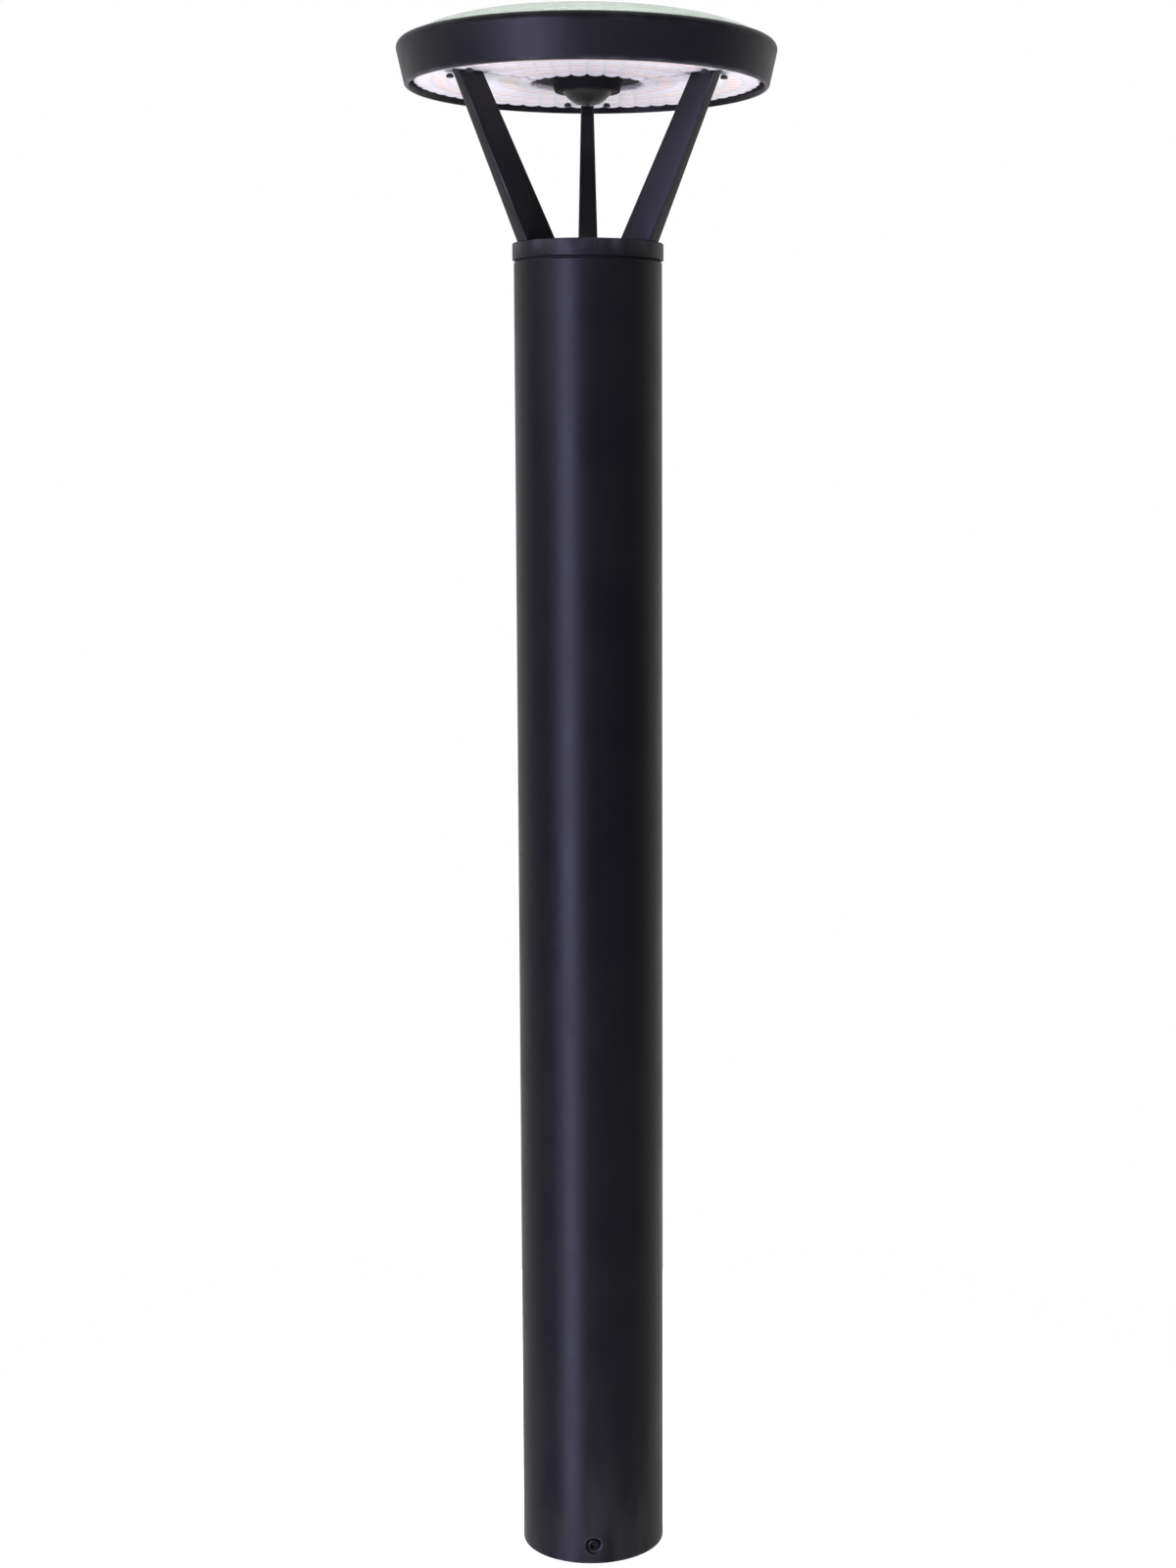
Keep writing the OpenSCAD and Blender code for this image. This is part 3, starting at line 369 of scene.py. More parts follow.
class Tree(Nodes):
    """A material's node tree, with short calls for what the finishes share."""

    def __init__(self, name: str) -> None:
        """Starts an empty material that holds a shader and its output."""
        self.material = bpy.data.materials.new(name)
        self.material.use_nodes = True
        super().__init__(self.material.node_tree)
        self.shader = self.nodes.new("ShaderNodeBsdfPrincipled")
        self.node("OutputMaterial", {"Surface": self.shader.outputs["BSDF"]})
        self.place = self.node("TexCoord", {}, "Object")

    def set(self, **sockets: object) -> None:
        """Sets or links the shader's sockets, each named with _ for a space."""
        for key, value in sockets.items():
            self.feed(self.shader.inputs[key.replace("_", " ")], value)

    def math(self, kind: str, a: object, b: object) -> bpy.types.NodeSocket:
        """One arithmetic node on two numbers or sockets; the kind is such as MULTIPLY."""
        return self.node("Math", {0: a, 1: b}, operation=kind)

    def noise(self, size: float, detail: float = 3.0,
              stretch: tuple = (1.0, 1.0, 1.0)) -> bpy.types.NodeSocket:
        """Cloudy noise from 0 to 1.

        Args:
            size: Size of a blotch in metres.
            detail: Octaves of finer noise.
            stretch: Scale along x, y and z.

        Returns:
            The noise's socket.
        """
        place = self.node("Mapping", {"Vector": self.place, "Scale": stretch})
        return self.node("TexNoise", {"Vector": place, "Scale": 1.0 / size, "Detail": detail}, "Fac")

    def cells(self, size: float) -> bpy.types.NodeSocket:
        """Distance to the middle of the nearest cell of about a given size."""
        return self.node("TexVoronoi", {"Vector": self.place, "Scale": 1.0 / size}, "Distance")

    def around(self, noise: object, middle: float, uneven: float) -> bpy.types.NodeSocket:
        """A number that strays by at most an amount from its middle as a noise does."""
        return self.span(noise, 0.3, 0.7, middle - uneven, middle + uneven)

    def mix(self, share: object, a: object, b: object) -> bpy.types.NodeSocket:
        """Two colours or sockets mixed; the share is how much of the second is seen."""
        a, b = ((*side, 1.0) if isinstance(side, tuple) else side for side in (a, b))
        # Inputs 6 and 7 and output 2 are the node's colours
        return self.node("Mix", {0: share, 6: a, 7: b}, 2, data_type="RGBA")

    def axis(self, letter: str) -> bpy.types.NodeSocket:
        """The object coordinate along X, Y or Z."""
        return self.node("SeparateXYZ", {0: self.place}, letter)

    def attribute(self, name: str) -> bpy.types.NodeSocket:
        """A number kept on the mesh's points."""
        return self.node("Attribute", {}, "Fac", attribute_name=name)

    def bump(self, *layers: tuple) -> None:
        """Stacks bumps and feeds them to the shader's normal.

        Args:
            layers: Height socket, strength and depth in metres of each bump.
        """
        below = {}
        for layer in layers:
            feeds = dict(zip(("Height", "Strength", "Distance"), layer))
            below = {"Normal": self.node("Bump", feeds | below)}
        self.set(**below)


class Coating:
    """A finish, built as a material on a fresh node tree."""

    def material(self, name: str) -> bpy.types.Material:
        """Builds the finish under a name and returns its material."""
        tree = Tree(name)
        self.dress(tree)
        return tree.material

    def dress(self, tree: Tree) -> None:
        """Sets the shader's sockets and bumps."""
        raise NotImplementedError


@dataclass(frozen=True)
class PowderCoat(Coating):
    """Satin black powder coat: fine orange peel, dust near the ground, rubbed edges."""

    colour: tuple = (0.0095, 0.009, 0.0125)
    warm: tuple = (0.0135, 0.0128, 0.0118)
    dust: tuple = (0.10, 0.094, 0.086)
    rubbed: tuple = (0.085, 0.085, 0.095)
    roughness: float = 0.37
    uneven: float = 0.045
    shine: float = 0.33
    cloud: float = 60 * MM
    streak: float = 16 * MM
    smudge: float = 7 * MM
    peel: float = 1.1 * MM
    fleck: float = 0.45 * MM
    dust_height: float = 0.22
    dust_fall: float = 2.2

    def dress(self, tree: Tree) -> None:
        """Sets the shader: dust falls off as a power of the height, wear follows the edges."""
        broad = tree.noise(self.cloud, 4.0)
        streak = tree.noise(self.streak, 5.0, (1.0, 1.0, 0.22))
        coat = tree.mix(tree.span(broad, 0.35, 0.7, 0.0, 0.8), self.colour, self.warm)
        low = tree.math("POWER", tree.span(tree.axis("Z"), 0.0, self.dust_height, 1.0, 0.0), self.dust_fall)
        settled = tree.math("MULTIPLY", low, tree.span(streak, 0.4, 0.75, 0.02, 0.26))
        wear = tree.math("MULTIPLY", tree.attribute("edge_wear"), tree.span(streak, 0.42, 0.66, 0.0, 0.75))
        rough = tree.around(broad, self.roughness, self.uneven)
        smudged = tree.math("ADD", rough, tree.span(tree.noise(self.smudge, 6.0), 0.5, 0.8, 0.0, 0.06))
        tree.set(
            Base_Color=tree.mix(wear, tree.mix(settled, coat, self.dust), self.rubbed),
            Roughness=tree.math("ADD", smudged, tree.math("MULTIPLY", settled, 0.5)),
            Specular_IOR_Level=self.shine,
        )
        tree.bump((tree.noise(self.peel, 1.5), 0.16, 0.05 * MM), (tree.cells(self.fleck), 0.05, 0.02 * MM))


@dataclass(frozen=True)
class Moulded(Coating):
    """Plastic or rubber from a mould, with a fine grain and a little handling."""

    colour: tuple
    roughness: float
    grain: float = 0.5 * MM
    depth: float = 0.03 * MM
    spread: float = 0.12
    coat: float = 0.0
    shine: float = 0.5
    cloud: float = 9 * MM
    uneven: float = 0.06

    def dress(self, tree: Tree) -> None:
        """Sets the shader: the colour and the gloss both vary with one cloudy noise."""
        cloud = tree.noise(self.cloud, 4.0)
        light = tuple(min(1.0, c * (1.0 + self.spread) + 0.004) for c in self.colour)
        dark = tuple(c * (1.0 - self.spread) for c in self.colour)
        tree.set(
            Base_Color=tree.mix(cloud, dark, light),
            Roughness=tree.around(cloud, self.roughness, self.uneven),
            Specular_IOR_Level=self.shine, Coat_Weight=self.coat, Coat_Roughness=0.12,
        )
        tree.bump((tree.noise(self.grain, 2.0), 0.35, self.depth))


@dataclass(frozen=True)
class Metal(Coating):
    """Bare or blackened metal, cast, turned or plated."""

    colour: tuple
    roughness: float
    metallic: float = 1.0
    grain: float = 0.8 * MM
    depth: float = 0.02 * MM
    stretch: tuple = (1.0, 1.0, 1.0)
    cloud: float = 6 * MM
    uneven: float = 0.08
    dull: float = 0.78

    def dress(self, tree: Tree) -> None:
        """Sets the shader: the colour and the gloss both vary with one cloudy noise."""
        cloud = tree.noise(self.cloud, 5.0)
        dull = tuple(c * self.dull for c in self.colour)
        tree.set(
            Base_Color=tree.mix(cloud, dull, self.colour), Metallic=self.metallic,
            Roughness=tree.around(cloud, self.roughness, self.uneven),
        )
        tree.bump((tree.noise(self.grain, 3.0, self.stretch), 0.3, self.depth))


@dataclass(frozen=True)
class ClearPlastic(Coating):
    """Moulded optical plastic: clear, faintly tinted, with soft scuffs."""

    colour: tuple
    roughness: float
    clear: float
    scuff: float = 0.05
    ior: float = 1.49
    cloud: float = 30 * MM
    grit: float = 1.2 * MM

    def dress(self, tree: Tree) -> None:
        """Sets the shader: scuffs follow a fine grit, the tint a cloudy noise."""
        cloud, grit = tree.noise(self.cloud, 4.0), tree.noise(self.grit, 5.0)
        rough = tree.span(grit, 0.5, 0.8, self.roughness, self.roughness + self.scuff)
        tree.set(
            Base_Color=self.tint(tree, cloud), Roughness=rough, Transmission_Weight=self.clear, IOR=self.ior)
        tree.bump(self.relief(cloud, grit))

    def tint(self, tree: Tree, cloud: bpy.types.NodeSocket) -> bpy.types.NodeSocket:
        """The colour, a little paler in places."""
        return tree.mix(cloud, self.colour, tuple(min(1.0, c * 1.03) for c in self.colour))

    def relief(self, cloud: bpy.types.NodeSocket, grit: bpy.types.NodeSocket) -> tuple:
        """The bump: a faint waviness."""
        return cloud, 0.08, 0.1 * MM


@dataclass(frozen=True)
class LensPlastic(ClearPlastic):
    """The clear plate, with a painted image of the phosphor seen through each lit lenslet and painted shade
    in its creases and along its sides.
    """

    cloud: float = 24 * MM
    # Colours of the painted image of the phosphor that each lit lenslet shows
    image: tuple = (0.98, 0.78, 0.58)
    blush: tuple = (0.97, 0.74, 0.77)
    # Colour of the painted shade in the creases between lenslets and along the plate's sides
    shade: tuple = (0.40, 0.39, 0.43)

    def tint(self, tree: Tree, cloud: bpy.types.NodeSocket) -> bpy.types.NodeSocket:
        """The plate's colour, with painted shade in its creases and along its sides and a painted warm image
        of the phosphor in its lit lenslets.
        """
        # Painted shade: the plate's colour goes darker in the creases between lenslets and along its sides
        painted_shade = tree.mix(tree.attribute("painted_shade"), self.colour, self.shade)
        # Painted image of the phosphor, as seen through each lit lenslet, laid over the plate's colour
        painted_phosphor_image = tree.mix(tree.span(cloud, 0.42, 0.58, 0.0, 1.0), self.image, self.blush)
        return tree.mix(tree.attribute("phosphor"), painted_shade, painted_phosphor_image)

    def relief(self, cloud: bpy.types.NodeSocket, grit: bpy.types.NodeSocket) -> tuple:
        """The bump: a fine grit."""
        return grit, 0.05, 0.02 * MM


@dataclass(frozen=True)
class SolarCell(Coating):
    """Blue-black silicon with fine silver fingers and broad bars."""

    finger: tuple = (2.0 * MM, 0.16 * MM)
    bar: tuple = (19 * MM, 1.2 * MM)
    crystal: float = 6 * MM
    dark: tuple = (0.006, 0.01, 0.04)
    light: tuple = (0.014, 0.024, 0.085)
    silver: tuple = (0.6, 0.6, 0.6)

    def lines(self, tree: Tree, letter: str, pitch: float, width: float) -> bpy.types.NodeSocket:
        """Thin lines across an axis: 1 where its remainder by the pitch is near half."""
        wrapped = tree.math("PINGPONG", tree.axis(letter), pitch / 2)
        return tree.math("GREATER_THAN", wrapped, pitch / 2 - width / 2)

    def dress(self, tree: Tree) -> None:
        """Sets the shader: silver lines printed over crystals of two dark blues."""
        wafer = tree.mix(tree.span(tree.cells(self.crystal), 0.1, 0.8, 0.0, 1.0), self.dark, self.light)
        printed = tree.math("MAXIMUM", self.lines(tree, "Y", *self.finger), self.lines(tree, "X", *self.bar))
        tree.set(
            Base_Color=tree.mix(tree.math("MULTIPLY", printed, 0.8), wafer, self.silver),
            Roughness=tree.span(printed, 0.0, 1.0, 0.16, 0.38), Coat_Weight=0.6, Coat_Roughness=0.06,
        )
        tree.bump((printed, 0.25, 0.03 * MM))


class Finish(Enum):
    """The finishes of the record's material slots."""

    POWDER_COAT = PowderCoat()
    CAST_ALLOY = Metal((0.50, 0.51, 0.53), 0.52, grain=0.9 * MM, depth=0.06 * MM)
    BLACK_STEEL = Metal((0.045, 0.045, 0.05), 0.36, 0.75, 0.5 * MM)
    STAINLESS = Metal((0.62, 0.61, 0.60), 0.26, 1.0, 0.5 * MM, 0.015 * MM, (1.0, 1.0, 6.0))
    BLACK_RUBBER = Moulded((0.012, 0.012, 0.013), 0.66, 0.7 * MM, 0.04 * MM)
    GREY_SILICONE = Moulded((0.42, 0.42, 0.43), 0.55)
    WHITE_BOARD = Moulded((0.86, 0.845, 0.875), 0.34, 1.6 * MM, 0.015 * MM, 0.03)
    PHOSPHOR = Moulded((0.93, 0.66, 0.30), 0.28, 0.3 * MM, 0.02 * MM, 0.1, 0.5)
    LENS_PLASTIC = LensPlastic((0.965, 0.945, 0.98), 0.30, 0.66)
    SMOKE_PLASTIC = Moulded((0.034, 0.032, 0.025), 0.32, 1.4 * MM, 0.012 * MM, 0.08, shine=0.4)
    DOME_PLASTIC = ClearPlastic((0.89, 0.965, 0.90), 0.16, 0.82)
    BLACK_PLASTIC = Moulded((0.0055, 0.0055, 0.0065), 0.6, spread=0.1, shine=0.07)
    BLACK_PARTS = Moulded((0.03, 0.03, 0.031), 0.42)
    WHITE_PLASTIC = Moulded((0.78, 0.77, 0.73), 0.40, 0.5 * MM, 0.02 * MM, 0.05)
    GREEN_BOARD = Moulded((0.016, 0.15, 0.062), 0.30, 2.2 * MM, 0.02 * MM, 0.2, 0.3)
    SILICON = SolarCell()
    NICKEL = Metal((0.70, 0.68, 0.62), 0.24)
    CELL_WRAP = Moulded((0.03, 0.12, 0.40), 0.28, 3.0 * MM, 0.03 * MM, 0.1, 0.3)
    BLACK_CABLE = Moulded((0.015, 0.015, 0.016), 0.52)
    GREY_CABLE = Moulded((0.42, 0.42, 0.43), 0.50)
    RED_CABLE = Moulded((0.42, 0.018, 0.016), 0.46)
    YELLOW_CABLE = Moulded((0.60, 0.43, 0.03), 0.46)


class Paints:
    """Makes each finish once and hands out its material."""

    def __init__(self) -> None:
        """Starts with no material made."""
        self.made: dict = {}

    def __call__(self, finish: Finish) -> bpy.types.Material:
        """The finish's material, made the first time it is asked for."""
        if finish not in self.made:
            self.made[finish] = finish.value.material(finish.name.lower())
        return self.made[finish]

    def dress_nodes(self, record: dict, nodes: dict) -> None:
        """Gives every CAD node the finish of its record slot.

        Args:
            record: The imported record.
            nodes: The CAD nodes' objects by name.
        """
        for part in record["subparts"]:
            materials = nodes[part["node"]].data.materials
            if not materials:
                materials.append(None)
            for place in range(len(materials)):
                materials[place] = self(Finish[part["material_slot"].upper()])


# -------------------------------------------------------------------- pieces


@dataclass(frozen=True)
class Levels:
    """Levels and radii that pieces share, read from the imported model's boxes."""

    pole_r: float
    pole_top: float
    cap_r: float
    cap_low: float
    cap_top: float
    floor: float
    head_low: float
    head_top: float
    head_r: float
    dome_r: float
    dome_top: float

    @classmethod
    def read(cls) -> "Levels":
        """Reads the boxes of the nodes that set each size."""
        pole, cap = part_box("pole_shaft")[1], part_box("pole_cap")
        strut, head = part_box("strut_rear")[1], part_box("head_housing")
        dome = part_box("dome_cover")[1]
        return cls(
            pole_r=pole.x, pole_top=pole.z, cap_r=cap[1].x, cap_low=cap[0].z, cap_top=cap[1].z,
            floor=strut.z, head_low=head[0].z, head_top=head[1].z, head_r=head[1].x,
            dome_r=dome.x, dome_top=dome.z,
        )


@dataclass
class Screw:
    """A turned screw with a hexagon socket, head up along its own axis.

    Attributes:
        outline: (r, z) pairs from the flat round the socket to the tip.
        key: Width of the socket across its flats.
        depth: Depth of the socket.
        sides: Points round the axis.
    """

    outline: list
    key: float
    depth: float
    sides: int = 48

    def add_to(self, shell: Shell, place: Callable, directions: Iterable) -> None:
        """Adds a screw in each of some directions to a shell.

        The socket's rim lies at key / 2 / cos(f), with f the angle from the middle
        of the nearest flat; the rings after it are circles along the outline.

        Args:
            shell: The shell that gets them.
            place: Maps the screw's own points to points in space, in direction 0.
            directions: Turns about the Z axis in degrees.
        """
        angle = circle(self.sides)
        flat = np.mod(angle + math.pi / 6, math.pi / 3) - math.pi / 6
        hexagon = self.key / 2 / np.cos(flat)
        top = self.outline[0][1]
        bevel = 0.12 * self.key
        # Radius, height and wear of each ring
        rings = [
            (hexagon, top - self.depth, 0.0),
            (hexagon, top - bevel / 2, 0.3),
            (hexagon + bevel / 2, top, 1.0),
        ]
        rings += [(np.full(self.sides, r), z, 0.2) for r, z in self.outline]
        radius, height, wear = (np.stack(part) for part in zip(*rings))
        points = place(polar(radius, angle, height[:, None]))
        for degrees in directions:
            shell.rod(turned(points, degrees), wear[:, None])


def button_outline(head_d: float, head_h: float, shank_d: float, length: float) -> list:
    """Outline of a button-head screw, from the flat round its socket to its tip.

    The crown falls by 0.86 of the head's height times the square of the way from
    the flat to the head's edge.

    Args:
        head_d: Head diameter.
        head_h: Head height.
        shank_d: Shank diameter.
        length: Length under the head.

    Returns:
        (r, z) pairs with z = 0 under the head.
    """
    way = np.linspace(0.0, 1.0, 8)
    radius, flat = head_d / 2, 0.30 * head_d
    crown = list(zip(flat + (radius - flat) * way, head_h * (1.0 - 0.86 * way ** 2)))
    return crown + [(radius - 0.15 * MM, 0.0), (shank_d / 2, 0.0), (shank_d / 2, -length)]


@dataclass
class Assembly:
    """A sub-assembly of the light: a group of pieces that are built together."""

    levels: Levels
    paints: Paints


@dataclass
class Pole(Assembly):
    """The tube, its three foot screws and the gasket ring on its top."""

    wall: float = 3.2 * MM
    edge: float = 0.6 * MM
    hole_d: float = 12 * MM
    hole_edge: float = 0.4 * MM
    sides: int = 288
    window_cells: int = 8
    first_row: float = 2.2 * MM
    next_row: float = 2.5 * MM
    upper_rows: int = 26
    head_d: float = 10.5 * MM
    head_h: float = 3.3 * MM
    shank_d: float = 6 * MM
    shank_past: float = 12 * MM
    socket: tuple = (4 * MM, 1.9 * MM)

    def build(self) -> None:
        """Builds and dresses the pieces."""
        low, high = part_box("base_screws")
        middle = (low.z + high.z) / 2
        self.tube(middle)
        self.screws(middle, -low.y - self.head_h)
        self.gasket()

    def tube(self, middle: float) -> None:
        """The tube: outer and inner walls joined over rounded ends and through three holes.

        Args:
            middle: Height of the holes' middles.
        """
        outer, inner, top = self.levels.pole_r, self.levels.pole_r - self.wall, self.levels.pole_top
        windows = Windows(self.sides, self.window_cells, 1)
        half = self.window_cells * 2 * math.pi / self.sides * outer
        near = np.linspace(middle - half, middle + half, 2 * self.window_cells + 1)
        above = np.geomspace(near[-1] + self.next_row, top - self.edge, self.upper_rows)
        height = np.concatenate([[self.first_row], near, above])
        shell, angle, walls = Shell(), circle(self.sides), {}
        for radius in (outer, inner):
            walls[radius] = shell.add(polar(radius, angle, height[:, None]))
            shell.sheet(walls[radius], wrap=True, skip=windows.cells(len(height)))
        for end, middle_z, turn in ((0, self.edge, -90.0), (-1, top - self.edge, 90.0)):
            outside = arc(outer - self.edge, middle_z, self.edge, 0.0, turn, 4)
            inside = arc(inner + self.edge, middle_z, self.edge, turn, 2 * turn, 4)
            rings = [shell.add(polar(r, angle, z), EDGE_WEAR) for r, z in outside + inside]
            shell.band(walls[outer][end], *rings, walls[inner][end])
        self.holes(shell, walls, windows, height, middle)
        shell.build("pole_shaft_tube", self.paints, Finish.POWDER_COAT, "pole_shaft")

    def holes(self, shell: Shell, walls: dict, windows: Windows, height: Array, middle: float) -> None:
        """Three screw holes, each from the outer wall's window to the inner wall's.

        A point of a hole's plane (a across, b up) lies on a wall of radius R at the
        distance sqrt(R^2 - a^2) from the axis along the hole, less the depth.

        Args:
            shell: The tube's shell.
            walls: The grid of each wall by its radius, the outer wall first.
            windows: The windows left open in both walls.
            height: Height of each row.
            middle: Height of the holes' middles.
        """
        radius = self.hole_d / 2
        steps = [(radius + self.hole_edge, 0.0, HOLE_WEAR), (radius, self.hole_edge, HOLE_WEAR)]
        for degrees in FIXING_ANGLES:
            rows, cols, offset = windows.rim(degrees)
            ends = []
            for (wall_r, wall), sign in zip(walls.items(), (1.0, -1.0)):
                def place(at: Array, depth: float) -> Array:
                    """A point of the hole's plane, at a depth under this wall."""
                    reach = np.sqrt(wall_r ** 2 - at[..., 0] ** 2) - sign * depth
                    return turned(np.stack([reach, at[..., 0], at[..., 1] + middle], axis=-1), degrees)

                flat = np.stack([wall_r * np.sin(offset), height[rows] - middle], axis=-1)
                ends.append(bore(shell, wall[rows, cols], flat, place, steps))
            shell.band(*ends)

    def screws(self, middle: float, seat: float) -> None:
        """Three button-head screws through the foot of the tube.

        Args:
            middle: Height of their axes.
            seat: Distance from the pole's axis to the underside of their heads.
        """
        def place(points: Array) -> Array:
            """Lays the screw along the radius at the foot of the tube."""
            return points[..., [2, 0, 1]] + np.array([seat, 0.0, middle])

        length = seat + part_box("anchor_base")[0].y + self.shank_past
        shell = Shell()
        outline = button_outline(self.head_d, self.head_h, self.shank_d, length)
        Screw(outline, *self.socket).add_to(shell, place, FIXING_ANGLES)
        shell.build("foot_button_screws", self.paints, Finish.BLACK_STEEL, "base_screws")

    def gasket(self) -> None:
        """The ring between tube and cap, with a softly bulging edge."""
        low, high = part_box("cap_gasket")
        inner, half = self.levels.pole_r - self.wall, (high.z - low.z) / 2
        bulge = arc(high.x - half, (low.z + high.z) / 2, half, -90.0, 90.0, 8)
        shell = Shell()
        revolve(shell, bulge + [(inner, high.z), (inner, low.z)], 192)
        shell.build("cap_gasket_ring", self.paints, Finish.BLACK_RUBBER, "cap_gasket")


@dataclass
class Cap(Assembly):
    """The slim cap on the pole and its three countersunk screws."""

    round_top: float = 0.8 * MM
    round_low: float = 0.3 * MM
    screw_at: float = 43.6 * MM
    head_d: float = 10 * MM
    shank_d: float = 5 * MM
    gap: float = 0.25 * MM
    seat_edge: float = 0.15 * MM
    seat_depth: float = 6 * MM
    socket: tuple = (3 * MM, 1.7 * MM)
    length: float = 26 * MM
    sides: int = 288
    window_cells: int = 7

    def build(self) -> None:
        """Builds and dresses the pieces."""
        self.body()
        self.screws()

    def body(self) -> None:
        """The cap: a turned disc whose flat top has three countersunk seats."""
        low, top, radius = self.levels.cap_low, self.levels.cap_top, self.levels.cap_r
        half = self.window_cells * 2 * math.pi / self.sides * self.screw_at
        seat_r = np.linspace(self.screw_at + half, self.screw_at - half, 2 * self.window_cells + 1)
        under = [(0.3 * radius, low), (0.8 * radius, low)]
        under += arc(radius - self.round_low, low + self.round_low, self.round_low, -90.0, 0.0, 4)
        crown = arc(radius - self.round_top, top - self.round_top, self.round_top, 0.0, 90.0, 6)
        inward = [(r, top) for r in (*seat_r, 30 * MM, 18 * MM, 7 * MM)]
        line = np.array(under + crown + inward)
        wear = np.repeat([0.0, EDGE_WEAR, 0.0], [len(under), len(crown), len(inward)])
        windows = Windows(self.sides, self.window_cells, len(under) + len(crown))
        points = polar(line[:, :1], circle(self.sides), line[:, 1:])
        shell = Shell()
        idx = shell.rod(points, wear[:, None], windows.cells(len(line)))
        wide, narrow = self.head_d / 2 + self.gap, self.shank_d / 2 + self.gap
        steps = [
            (wide + self.seat_edge, 0.0, SEAT_WEAR), (wide, self.seat_edge, SEAT_WEAR),
            (narrow, wide - narrow, 0.0), (narrow, self.seat_depth, 0.0),
        ]
        for degrees in FIXING_ANGLES:
            def place(at: Array, depth: float) -> Array:
                """A point of the seat's plane, at a depth under the top."""
                height = np.full(at.shape[:-1], top - depth)
                return turned(np.stack([at[..., 0] + self.screw_at, at[..., 1], height], axis=-1), degrees)

            rows, cols, offset = windows.rim(degrees)
            flat = polar(line[rows, 0], offset, 0.0)[:, :2] - np.array([self.screw_at, 0.0])
            shell.close(bore(shell, idx[rows, cols], flat, place, steps), place(np.zeros(2), self.seat_depth))
        shell.build("pole_cap_disc", self.paints, Finish.POWDER_COAT, "pole_cap")

    def screws(self) -> None:
        """Three flat-head screws, their tops flush with the cap."""
        radius, shank_r, soft = self.head_d / 2, self.shank_d / 2, 0.2 * MM
        outline = [
            (0.62 * radius, 0.0), (radius - soft, 0.0), (radius, -soft),
            (shank_r, shank_r - radius), (shank_r, -self.length),
        ]
        shell, seat = Shell(), np.array([self.screw_at, 0.0, self.levels.cap_top])
        Screw(outline, *self.socket).add_to(shell, lambda points: points + seat, FIXING_ANGLES)
        shell.build("cap_flat_screws", self.paints, Finish.BLACK_STEEL, "cap_screws")


@dataclass
class Struts(Assembly):
    """Three leaning struts, each a rounded bar that thins towards the head."""

    foot_w: float = 23.7 * MM
    head_w: float = 18.3 * MM
    foot_t: float = 13.6 * MM
    head_t: float = 8.7 * MM
    corner: float = 1.1 * MM
    rows: int = 40
    corner_steps: int = 5

    def build(self) -> None:
        """Builds one bar along +X and turns it to each strut's direction."""
        head_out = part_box("strut_rear")[1].y
        share = np.linspace(0.0, 1.0, self.rows)[:, None]
        depth = self.foot_w + (self.head_w - self.foot_w) * share
        thick = self.foot_t + (self.head_t - self.foot_t) * share
        outer = self.levels.cap_r + (head_out - self.levels.cap_r) * share
        height = self.levels.cap_top + (self.levels.floor - self.levels.cap_top) * share
        turn = np.radians(np.linspace(0.0, 90.0, self.corner_steps + 1))
        angle = np.concatenate([turn + quarter * math.pi / 2 for quarter in range(4)])
        along, across = np.repeat([[1.0, -1.0, -1.0, 1.0], [1.0, 1.0, -1.0, -1.0]], len(turn), axis=1)
        x = outer - depth / 2 + along * (depth / 2 - self.corner) + self.corner * np.cos(angle)
        y = across * (thick / 2 - self.corner) + self.corner * np.sin(angle)
        bar = np.stack([x, y, np.broadcast_to(height, x.shape)], axis=-1)
        rounding = 1.0 - np.abs(np.mod(angle, math.pi / 2) / (math.pi / 4) - 1.0)
        for name, degrees in STRUT_ANGLES.items():
            shell = Shell()
            shell.rod(turned(bar, degrees), EDGE_WEAR * rounding ** 0.5)
            shell.build(name + "_bar", self.paints, Finish.POWDER_COAT, name)


